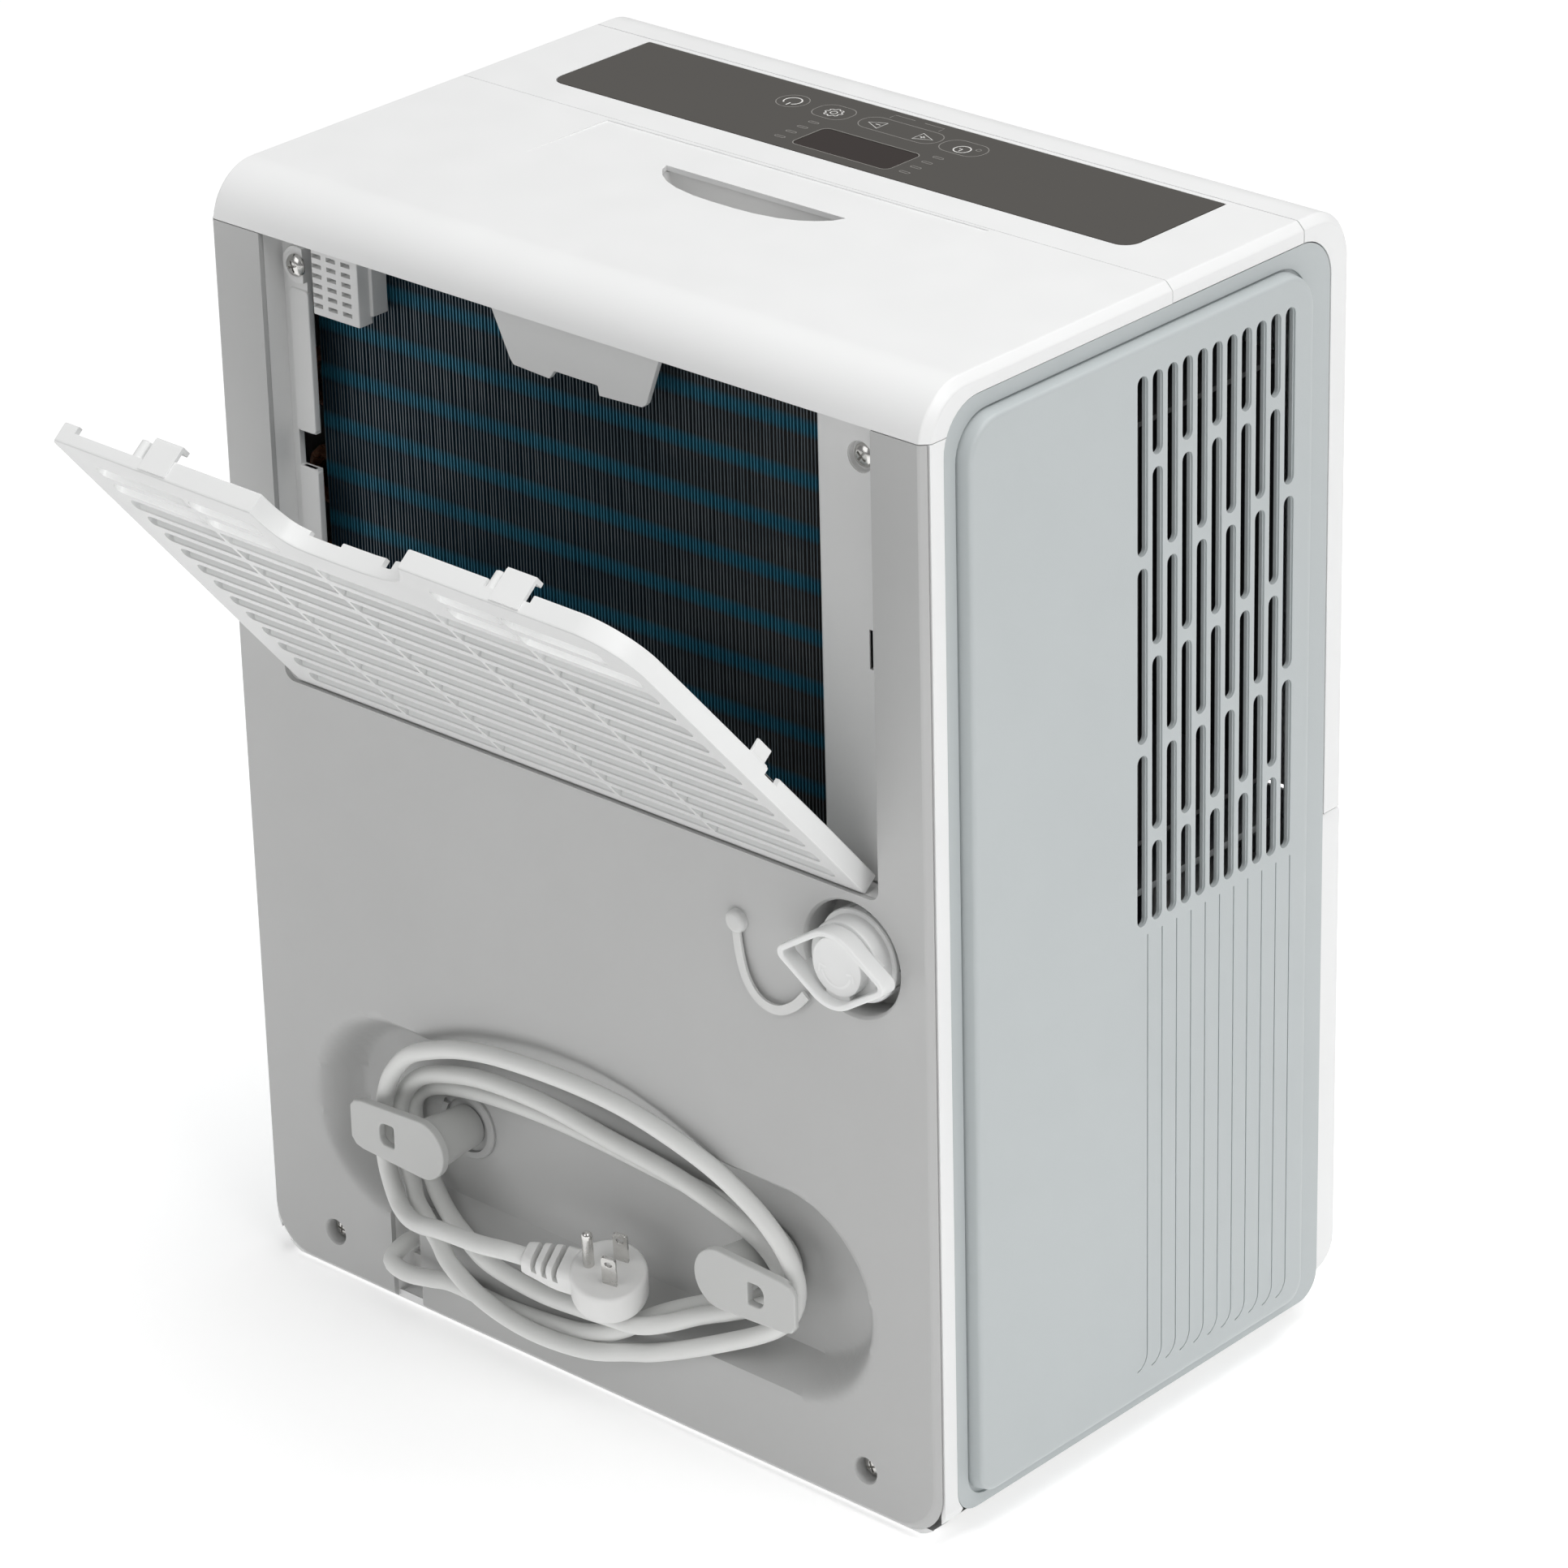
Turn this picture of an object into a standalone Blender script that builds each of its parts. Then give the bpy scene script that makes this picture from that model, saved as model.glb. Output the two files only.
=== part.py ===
"""Portable dehumidifier with a drop-down rear grille, a pull-out water tank and two cord hooks.

Millimetres, written into the meshes as metres. +Z is up, the tank faces -Y, the intake grille
faces +Y and the louvred side faces -X. The origin is the centre of the base's underside.
"""

import math

import bmesh
import bpy
from mathutils import Matrix, Vector

# ---- driving dimensions, mm ----
HALF_W = 190.0  # half the width across the wrap-around shell
BACK_Y = 128.0
FRONT_Y = -128.0
TOP_Z = 495.0
SHELL_LOW_Z = 1.5
WALL = 2.5
GAP = 0.4  # reveal between neighbouring covers
EDGE = 3.3  # chamfer round the shell's side edges
BACK_ROLL = 24.0
FRONT_ROLL = 22.0
BASE_CORNER = 20.0

SEAM_BACK_Z = 474.3  # rear cover below, rear top cover above
SEAM_TOP_Y = -16.0  # rear top cover behind, control top in front
SEAM_FRONT_Y = -97.0
SEAM_TANK_Z = 233.5

PANEL_Y = (-114.5, 117.5)
PANEL_Z = (10.0, 486.4)
PANEL_CORNER = 20.0
RAISED_Y = (-98.0, 109.7)
RAISED_Z = (17.0, 478.5)
RAISED_STEP = 6.0

SLOT_COLUMNS = 11
SLOT_FIRST_Y = 9.0
SLOT_PITCH = 9.05
SLOT_WIDTH = 6.3
SLOT_Z = (233.0, 466.0)
SLOT_BRIDGE = 5.0

WINDOW_X = (-163.2, 160.5)  # air opening in the rear cover
WINDOW_LOW_Z = 279.5
WINDOW_WALL_Y = 116.0

GRILLE_HALF = 154.3
GRILLE_Z = (280.2, 473.6)
GRILLE_Y = (119.0, 127.8)
GRILLE_OPEN_DEG = 40.0
HINGE_Y = 126.0
HINGE_Z = 282.6
SCOOP = (
    (41.0, 473.6),
    (40.5, 462.0),
    (37.0, 453.5),
    (28.0, 450.5),
    (-24.0, 452.0),
    (-36.5, 471.0),
    (-38.0, 473.6),
)
SCOOP_WALL = (
    (43.6, 471.1),
    (43.0, 461.3),
    (38.8, 451.4),
    (28.5, 448.0),
    (-25.5, 449.4),
    (-38.5, 469.2),
    (-39.5, 471.1),
)
VENT_ROWS = 14
VENT_PITCH = 12.6
VENT_HEIGHT = 8.4
RIB_XS = (-81.0, -30.0, 34.0, 88.0)

RECESS_Z = 90.0  # cord bay in the rear cover
RECESS_R = 46.0
RECESS_HALF = 109.0
RECESS_FLOOR_Y = 110.0
HOOK_X = 84.0
HOOK_Z = 90.0
NOTCH_X = (99.0, 116.0)

DRAIN_X = -149.0
DRAIN_Z = 251.0
DRAIN_R = 24.0
DRAIN_FLOOR_Y = 113.0

FRAME_SCREWS = ((150.4, 460.2, 117.4), (-147.6, 455.6, 112.8))  # x, z and the head's seat in y
COIL_X = (-128.0, 151.0)
COIL_Z = (266.0, 474.0)
EVAPORATOR_Y = (82.0, 104.0)
CONDENSER_Y = (54.0, 76.0)
TUBE_R = 3.5
TUBE_ROWS = 8
TUBE_PITCH = 21.55
TUBE_LOW_Z = 280.6
COLD_BEND_OUT = 14.0  # how far the tube bends stand out of each fin pack
HOT_BEND_OUT = 5.0

FAN_X = 5.0
FAN_Z = 352.0
SCROLL_R = 90.0
SCROLL_Y = (-90.0, 2.0)
WHEEL_R = 72.0

TANK_HALF = 165.0
TANK_Y = (-118.5, -16.0)
TANK_Z = (6.4, 200.0)
DECK_Z = (238.0, 241.0)
BULKHEAD_Y = (-12.0, -9.5)

COMPRESSOR_X = 56.0
COMPRESSOR_Y = 43.0
ACCUMULATOR_X = -15.0

CORD_R = 3.9
PLUG_X = -23.4
PLUG_Y = 139.8
PLUG_Z = 67.3
PLUG_NECK = 37.0


# ---- materials ----
def material(name, colour, roughness=0.5, metallic=0.0, alpha=1.0):
    made = bpy.data.materials.new(name)
    made.use_nodes = True
    shader = made.node_tree.nodes["Principled BSDF"]
    shader.inputs["Base Color"].default_value = (*colour, 1.0)
    shader.inputs["Roughness"].default_value = roughness
    shader.inputs["Metallic"].default_value = metallic
    shader.inputs["Alpha"].default_value = alpha
    return made


# ---- mesh helpers: every helper takes mm and returns a mesh object ----
def finish(name, bm, colour):
    bmesh.ops.recalc_face_normals(bm, faces=bm.faces)
    bmesh.ops.scale(bm, vec=(0.001, 0.001, 0.001), verts=bm.verts)
    mesh = bpy.data.meshes.new(name)
    bm.to_mesh(mesh)
    bm.free()
    obj = bpy.data.objects.new(name, mesh)
    bpy.context.scene.collection.objects.link(obj)
    if colour:
        mesh.materials.append(colour)
    else:
        obj.hide_render = True
        obj.display_type = "WIRE"
    return obj


def add_box(bm, low, high):
    corners = [
        bm.verts.new((x, y, z))
        for x in (low[0], high[0])
        for y in (low[1], high[1])
        for z in (low[2], high[2])
    ]
    for face in ((0, 1, 3, 2), (4, 6, 7, 5), (0, 4, 5, 1), (2, 3, 7, 6), (0, 2, 6, 4), (1, 5, 7, 3)):
        bm.faces.new([corners[i] for i in face])


def boxes(name, spans, colour=None):
    """One mesh of boxes, each given as its low and high corner."""
    bm = bmesh.new()
    for low, high in spans:
        add_box(bm, low, high)
    return finish(name, bm, colour)


def add_rings(bm, rings):
    """Skin between rings of equal length and cap both ends."""
    rows = [[bm.verts.new(point) for point in ring] for ring in rings]
    for a, b in zip(rows, rows[1:]):
        for i in range(len(a)):
            j = (i + 1) % len(a)
            bm.faces.new((a[i], a[j], b[j], b[i]))
    bm.faces.new(rows[0])
    bm.faces.new(rows[-1])


def at(axis, u, v, w):
    """The point with in-plane coordinates u, v at w along an axis."""
    return {"X": (w, u, v), "Y": (u, w, v), "Z": (u, v, w)}[axis]


def prism(name, axis, outlines, colour=None):
    """A loft along an axis through (position, outline) pairs."""
    bm = bmesh.new()
    add_rings(bm, [[at(axis, u, v, w) for u, v in outline] for w, outline in outlines])
    return finish(name, bm, colour)


def circle(u, v, r, steps=28):
    angles = [2 * math.pi * i / steps for i in range(steps)]
    return [(u + r * math.cos(a), v + r * math.sin(a)) for a in angles]


def rounded(us, vs, radii, steps=6):
    """A rectangle with a corner radius each at low-low, high-low, high-high and low-high."""
    (u0, u1), (v0, v1) = us, vs
    a, b, c, d = radii
    corners = (
        (u0 + a, v0 + a, a, 180),
        (u1 - b, v0 + b, b, 270),
        (u1 - c, v1 - c, c, 0),
        (u0 + d, v1 - d, d, 90),
    )
    outline = []
    for u, v, r, start in corners:
        for i in range(steps + 1):
            angle = math.radians(start + 90 * i / steps)
            outline.append((u + r * math.cos(angle), v + r * math.sin(angle)))
    return outline


def stadium(u0, u1, v, r, steps=12):
    """Two half circles of radius r about (u0, v) and (u1, v), joined by straight sides."""
    left = [math.radians(90 + 180 * i / steps) for i in range(steps + 1)]
    right = [math.radians(-90 + 180 * i / steps) for i in range(steps + 1)]
    outline = [(u0 + r * math.cos(a), v + r * math.sin(a)) for a in left]
    return outline + [(u1 + r * math.cos(a), v + r * math.sin(a)) for a in right]


def cylinder(name, axis, u, v, spans, colour=None, steps=28):
    """A turned solid: spans are (position along the axis, radius) pairs."""
    return prism(name, axis, [(w, circle(u, v, r, steps)) for w, r in spans], colour)


def boolean(obj, other, operation="DIFFERENCE"):
    step = obj.modifiers.new(other.name, "BOOLEAN")
    step.operation = operation
    step.solver = "EXACT"
    step.object = other


def cut(obj, *others):
    for other in others:
        boolean(obj, other)


def join(obj, *others):
    for other in others:
        boolean(obj, other, "UNION")


def tube(name, points, radius, colour, sides=2):
    """A round tube along a polyline, closed at both ends."""
    curve = bpy.data.curves.new(name, "CURVE")
    curve.dimensions = "3D"
    curve.bevel_depth = radius * 0.001
    curve.bevel_resolution = sides
    curve.use_fill_caps = True
    spline = curve.splines.new("POLY")
    spline.points.add(len(points) - 1)
    for target, point in zip(spline.points, points):
        target.co = (*(Vector(point) * 0.001), 1.0)
    curve.materials.append(colour)
    obj = bpy.data.objects.new(name, curve)
    bpy.context.scene.collection.objects.link(obj)
    return obj


def through(stops, per_span):
    """A smooth run of points through the stops (Catmull-Rom)."""
    stops = [Vector(stop) for stop in stops]
    padded = [2 * stops[0] - stops[1], *stops, 2 * stops[-1] - stops[-2]]
    points = []
    for a, b, c, d in zip(padded, padded[1:], padded[2:], padded[3:]):
        for i in range(per_span):
            t = i / per_span
            points.append(
                0.5
                * (2 * b + (c - a) * t + (2 * a - 5 * b + 4 * c - d) * t**2 + (3 * b - a - 3 * c + d) * t**3)
            )
    return points + [stops[-1]]


def rounded_corners(stops, radius, steps=5):
    """A polyline with each inner corner replaced by a short bend."""
    stops = [Vector(stop) for stop in stops]
    points = [stops[0]]
    for before, here, after in zip(stops, stops[1:], stops[2:]):
        reach = min(radius, (before - here).length * 0.45, (after - here).length * 0.45)
        start = here + (before - here).normalized() * reach
        end = here + (after - here).normalized() * reach
        for i in range(steps + 1):
            t = i / steps
            points.append(start * (1 - t) ** 2 + here * 2 * t * (1 - t) + end * t**2)
    return points + [stops[-1]]


# ---- the wrap-around shell, shared by the four covers ----
def wrap_outline(inset):
    ys = (FRONT_Y + inset, BACK_Y - inset)
    zs = (SHELL_LOW_Z + inset, TOP_Z - inset)
    radii = (3.5, 3.5, BACK_ROLL - inset, FRONT_ROLL - inset)
    return rounded(ys, zs, radii, steps=8)


def panel_outline(inset):
    ys = (PANEL_Y[0] + inset, PANEL_Y[1] - inset)
    zs = (PANEL_Z[0] + inset, PANEL_Z[1] - inset)
    radii = (12 - inset, 12 - inset, PANEL_CORNER - inset, PANEL_CORNER - 2 - inset)
    return rounded(ys, zs, radii)


def wrap_shell(name, colour):
    """The whole hollow shell with both side openings. Each cover keeps one region of it."""
    inner = HALF_W - EDGE
    shell = prism(
        name,
        "X",
        [
            (-HALF_W, wrap_outline(EDGE)),
            (-inner, wrap_outline(0)),
            (inner, wrap_outline(0)),
            (HALF_W, wrap_outline(EDGE)),
        ],
        colour,
    )
    hollow = prism(
        name + "_hollow",
        "X",
        [(-HALF_W + WALL, wrap_outline(WALL)), (HALF_W - WALL, wrap_outline(WALL))],
    )
    sides = prism(name + "_sides", "X", [(-HALF_W - 5, panel_outline(0)), (HALF_W + 5, panel_outline(0))])
    feet = rounded((-HALF_W, HALF_W), (SHELL_LOW_Z, TOP_Z + 9), (BASE_CORNER, BASE_CORNER, 0.5, 0.5))
    corners = prism(name + "_corners", "Y", [(-140, feet), (140, feet)])
    cut(shell, hollow, sides)
    boolean(shell, corners, "INTERSECT")
    return shell


def keep(shell, low, high):
    boolean(shell, boxes(shell.name + "_region", [(low, high)]), "INTERSECT")


# ---- covers ----
def make_rear_cover(colour):
    cover = wrap_shell("rear_cover", colour)
    keep(cover, (-200, 117.5, -5), (200, 140, SEAM_BACK_Z - GAP / 2))
    deep = RECESS_FLOOR_Y - WALL
    bay = stadium(-RECESS_HALF, RECESS_HALF, RECESS_Z, RECESS_R + WALL)
    cup = circle(DRAIN_X, DRAIN_Z, DRAIN_R + WALL)
    join(
        cover,
        prism("bay_wall", "Y", [(deep, bay), (126.5, bay)]),
        prism("drain_wall", "Y", [(DRAIN_FLOOR_Y - WALL, cup), (126.5, cup)]),
        boxes(
            "window_wall",
            [
                (
                    (WINDOW_X[0] - WALL, WINDOW_WALL_Y, WINDOW_LOW_Z - WALL),
                    (WINDOW_X[1] + WALL, 126.5, SEAM_BACK_Z - 1.0),
                )
            ],
        ),
    )
    for side in (-1, 1):
        boss = cylinder(f"cover_boss_{side}", "Y", side * 150.5, 22, [(116.5, 7.5), (126.5, 7.5)])
        join(cover, boss)
    bay_hole = stadium(-RECESS_HALF, RECESS_HALF, RECESS_Z, RECESS_R)
    cut(
        cover,
        prism("bay_hole", "Y", [(RECESS_FLOOR_Y, bay_hole), (140, bay_hole)]),
        cylinder("drain_hole", "Y", DRAIN_X, DRAIN_Z, [(DRAIN_FLOOR_Y, DRAIN_R), (140, DRAIN_R)]),
        cylinder("spout_hole", "Y", DRAIN_X, DRAIN_Z, [(100, 11.5), (140, 11.5)]),
        boxes("window_hole", [((WINDOW_X[0], 100, WINDOW_LOW_Z), (WINDOW_X[1], 140, 500))]),
        boxes("cord_notch", [((NOTCH_X[0], 90, -5), (NOTCH_X[1], 140, 47))]),
        cylinder("anchor_hole", "Y", -90, 249, [(100, 2.6), (140, 2.6)], steps=16),
    )
    for side in (-1, 1):
        spans = [(110, 2.3), (121.5, 2.3), (121.5001, 5.3), (140, 5.3)]
        cut(cover, cylinder(f"cover_screw_hole_{side}", "Y", side * 150.5, 22, spans, steps=16))
        hook_hole = [(90, 6.4), (140, 6.4)]
        cut(cover, cylinder(f"hook_hole_{side}", "Y", side * HOOK_X, HOOK_Z, hook_hole, steps=24))


def make_rear_top_cover(colour):
    cover = wrap_shell("rear_top_cover", colour)
    keep(cover, (-200, SEAM_TOP_Y + GAP / 2, SEAM_BACK_Z + GAP / 2), (200, 140, 510))
    mouth = [(-47.6, 9.8), (47.6, 9.8), (44, 16), (38, 22), (28, 27), (16, 28.7)]
    mouth += [(-x, y) for x, y in reversed(mouth[2:])]
    join(cover, boxes("window_lip", [((-158, 110, 474.6), (158, 126.4, 477))]))
    cut(cover, prism("grip_mouth", "Z", [(480, mouth), (510, mouth)]))


def make_grip_cup(colour):
    outer = rounded((-52, 52), (5, 33), (3, 3, 12, 12))
    inner = rounded((-50, 50), (7, 31), (2, 2, 10, 10))
    cup = prism("grip_cup", "Z", [(458, outer), (492.1, outer)], colour)
    cut(cup, prism("grip_cup_hole", "Z", [(460, inner), (500, inner)]))


def make_control_top(colour):
    cover = wrap_shell("control_top", colour)
    keep(cover, (-200, SEAM_FRONT_Y + GAP / 2, 470), (200, SEAM_TOP_Y - GAP / 2, 510))
    for i, (x, y) in enumerate(((-130, -86), (130, -86), (-130, -42), (130, -42))):
        join(cover, cylinder(f"board_post_{i}", "Z", x, y, [(480.4, 3.2), (493, 3.2)], steps=12))
    cut(
        cover,
        boxes("overlay_bed", [((-154.2, -94.3, 493.7), (154.2, -33.3, 500))]),
        boxes("display_hole", [((-36, -56, 480), (36, -36, 500))]),
    )


def make_controls(overlay_colour, glass, board_colour, module_colour):
    outline = rounded((-153.6, 153.6), (-93.7, -33.9), (0.8, 0.8, 7, 7))
    overlay = prism("control_overlay", "Z", [(493.9, outline), (495.1, outline)], overlay_colour)
    window = rounded((-24.9, 25.9), (-61.4, -40.0), (3, 3, 3, 3), steps=3)
    pane = rounded((-24.6, 25.6), (-61.1, -40.3), (2.7, 2.7, 2.7, 2.7), steps=3)
    cut(overlay, prism("overlay_hole", "Z", [(480, window), (500, window)]))
    prism("display_window", "Z", [(493.9, pane), (495.0, pane)], glass)
    boxes("display_module", [((-22, -59, 480.3), (23, -42, 491.5))], module_colour)
    boxes("control_board", [((-145, -92, 478.4), (145, -36, 480.0))], board_colour)


def make_front_cover(colour):
    cover = wrap_shell("front_cover", colour)
    keep(cover, (-200, -140, SEAM_TANK_Z + GAP), (200, SEAM_FRONT_Y - GAP / 2, 510))


def make_side_panel(name, side, colour, slotted):
    """A flat border set in the shell's side opening, with a raised field inside it."""

    def reach(w):
        return side * w

    border = panel_outline(0.4)
    foot = rounded(RAISED_Y, RAISED_Z, (9, 9, 16, 16))
    face_ys = (RAISED_Y[0] + 2, RAISED_Y[1] - 1.2)
    face_zs = (RAISED_Z[0] + 4, RAISED_Z[1] - 2)
    face = rounded(face_ys, face_zs, (9, 9, 15, 15))
    hollow = rounded(
        (RAISED_Y[0] + 4.5, RAISED_Y[1] - 4), (RAISED_Z[0] + 6.5, RAISED_Z[1] - 4.8), (7, 7, 13, 13)
    )
    outer = HALF_W - 0.3
    panel = prism(name, "X", [(reach(outer - WALL), border), (reach(outer), border)], colour)
    join(
        panel,
        prism(name + "_field", "X", [(reach(outer - 1), foot), (reach(outer + RAISED_STEP), face)]),
    )
    cut(
        panel,
        prism(name + "_hollow", "X", [(reach(180), hollow), (reach(outer + RAISED_STEP - WALL), hollow)]),
    )
    if not slotted:
        return
    full = (SLOT_Z[1] - SLOT_Z[0] - 2 * SLOT_BRIDGE) / 3
    bm = bmesh.new()
    half = SLOT_WIDTH / 2
    for column in range(SLOT_COLUMNS):
        y = SLOT_FIRST_Y - column * SLOT_PITCH
        lengths = [full] * 3
        if column % 2:
            lengths = [(full - SLOT_BRIDGE) / 2, full, full, (full - SLOT_BRIDGE) / 2]
        top = SLOT_Z[1]
        for length in lengths:
            low = top - length
            outline = [
                (y - half, low + 2.5),
                (y - 1.4, low),
                (y + 1.4, low),
                (y + half, low + 2.5),
                (y + half, top - 2.5),
                (y + 1.4, top),
                (y - 1.4, top),
                (y - half, top - 2.5),
            ]
            add_rings(bm, [[(reach(w), u, v) for u, v in outline] for w in (180, 205)])
            top = low - SLOT_BRIDGE
    cut(panel, finish(name + "_slots", bm, None))


# ---- base, partition and water tank ----
def make_base(pan_colour, rubber):
    pan = boxes("base_pan", [((-184, -112, 0), (184, 115.5, 6))], pan_colour)
    lugs = [((side * 150.5 - 8, 103, 5), (side * 150.5 + 8, 115.5, 33)) for side in (-1, 1)]
    rim = [((-166, 113, 5), (166, 115.5, 19))]
    gland_post = [((96, 80, 5), (119, 86, 46))]
    join(pan, boxes("pan_rim", rim), boxes("pan_lugs", lugs), boxes("gland_post", gland_post))
    for side in (-1, 1):
        cut(pan, cylinder(f"lug_hole_{side}", "Y", side * 150.5, 22, [(90, 2.4), (130, 2.4)], steps=16))
    cut(pan, cylinder("gland_hole", "Y", 107.5, 34, [(70, 6.6), (90, 6.6)], steps=24))
    for index, (x, y) in enumerate(((-160, -95), (160, -95), (-160, 92), (160, 92))):
        cut(pan, cylinder(f"foot_bed_{index}", "Z", x, y, [(-5, 9.5), (3, 9.5)], steps=24))
        cylinder(f"foot_{index + 1}", "Z", x, y, [(0, 8.5), (0.6, 9.1), (2.7, 9.1)], rubber, steps=24)


def make_chassis(colour):
    deck = boxes("chassis", [((-184, -110, DECK_Z[0]), (184, 50, DECK_Z[1]))], colour)
    join(deck, boxes("bulkhead", [((-184, BULKHEAD_Y[0], 6.4), (184, BULKHEAD_Y[1], DECK_Z[0] + 1))]))
    cut(deck, boxes("drip_slot", [((116, -60, 230), (140, -35, 250))]))


def make_tank(bucket_colour, front_colour, lid_colour, float_colour, switch_colour):
    outer = rounded((-TANK_HALF, TANK_HALF), TANK_Y, (10, 10, 10, 10), steps=4)
    inner = rounded((-TANK_HALF + 2.2, TANK_HALF - 2.2), (TANK_Y[0] + 2.2, TANK_Y[1] - 2.2), (8, 8, 8, 8), steps=4)
    bucket = prism("tank_bucket", "Z", [(TANK_Z[0], outer), (TANK_Z[1], outer)], bucket_colour)
    cut(bucket, prism("bucket_hole", "Z", [(TANK_Z[0] + 2.5, inner), (TANK_Z[1] + 9, inner)]))

    lid = prism("tank_lid", "Z", [(TANK_Z[1] + 0.3, outer), (TANK_Z[1] + 2.8, outer)], lid_colour)
    lugs = [((x, -66, 184), (x + 3, -54, TANK_Z[1] + 1)) for x in (-29, 26)]
    join(lid, boxes("float_lugs", lugs))
    cut(
        lid,
        cylinder("lid_drip_hole", "Z", 128, -47.5, [(190, 13), (210, 13)], steps=24),
        cylinder("float_bore", "X", -60, 190, [(-40, 2.3), (40, 2.3)], steps=24),
    )

    arm = boxes("tank_float", [((-22, -48, 166), (22, -24, 184))], float_colour)
    join(
        arm,
        boxes("float_arm", [((-16, -62, 181), (16, -46, 185.5))]),
        boxes("float_eye", [((-16, -63, 184.5), (16, -57.5, 193))]),
        cylinder("float_pin", "X", -60, 190, [(-30, 2), (30, 2)], steps=24),
    )

    section_out = rounded((-126.5, -90), (20, SEAM_TANK_Z - 0.6), (13, 0.5, 0.5, 2))
    section_in = rounded((-124, -80), (22.5, SEAM_TANK_Z - 3.1), (11, 0.5, 0.5, 1))
    half = HALF_W - 1.2
    front = prism("tank_front", "X", [(-half, section_out), (half, section_out)], front_colour)
    cut(front, prism("tank_front_hollow", "X", [(-half + WALL, section_in), (half - WALL, section_in)]))
    cut(
        front,
        boxes("tank_front_back", [((-200, -115.2, 10), (200, -70, 300))]),
        boxes("bucket_room", [((-168, -119, 10), (168, -70, 300))]),
    )

    boxes("tank_switch", [((-15, -34, 224), (15, -20, 237.7))], switch_colour)


# ---- refrigeration ----
def comb_outline(xs, back, front, groove, pitch):
    """A block outline with fin grooves cut in from its rear side."""
    count = int((xs[1] - xs[0] - 2) / pitch)
    outline = [(xs[0], front), (xs[1], front), (xs[1], back)]
    start = xs[1] - (xs[1] - xs[0] - count * pitch) / 2
    for i in range(count):
        x = start - (i + 0.5) * pitch
        half = pitch * 0.27
        outline += [(x + half, back), (x + half, back - groove), (x - half, back - groove), (x - half, back)]
    return outline + [(xs[0], back)]


def serpentine(y, rows, bend_out):
    """Tube centreline through all rows, with both free ends on the +X side."""
    radius = TUBE_PITCH / 2
    left, right = COIL_X[1] + bend_out, COIL_X[0] - 5
    points = [Vector((left + 4, y, TUBE_LOW_Z))]
    for row in range(rows):
        z = TUBE_LOW_Z + row * TUBE_PITCH
        side = -1 if row % 2 == 0 else 1
        near, far = (left, right) if side < 0 else (right, left)
        points += [Vector((near, y, z)), Vector((far, y, z))]
        if row == rows - 1:
            break
        for i in range(1, 6):
            angle = math.pi * i / 6
            points.append(
                Vector((far + side * radius * math.sin(angle), y, z + radius - radius * math.cos(angle)))
            )
    return points + [Vector((left + 4, y, TUBE_LOW_Z + (rows - 1) * TUBE_PITCH))]


def make_coil(name, ys, pitch, groove, bend_out, fin_colour, copper):
    outline = comb_outline(COIL_X, ys[1], ys[0], groove, pitch)
    block = prism(name + "_fins", "Z", [(COIL_Z[0], outline), (COIL_Z[1], outline)], fin_colour)
    middle = ys[0] + 7.0
    bm = bmesh.new()
    for row in range(TUBE_ROWS):
        z = TUBE_LOW_Z + row * TUBE_PITCH
        ring = circle(middle, z, TUBE_R + 0.7, 10)
        add_rings(bm, [[(x, u, v) for u, v in ring] for x in (COIL_X[0] - 20, COIL_X[1] + 20)])
    cut(block, finish(name + "_holes", bm, None))
    tube(name + "_tubes", serpentine(middle, TUBE_ROWS, bend_out), TUBE_R, copper, 1)
    return middle


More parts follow.
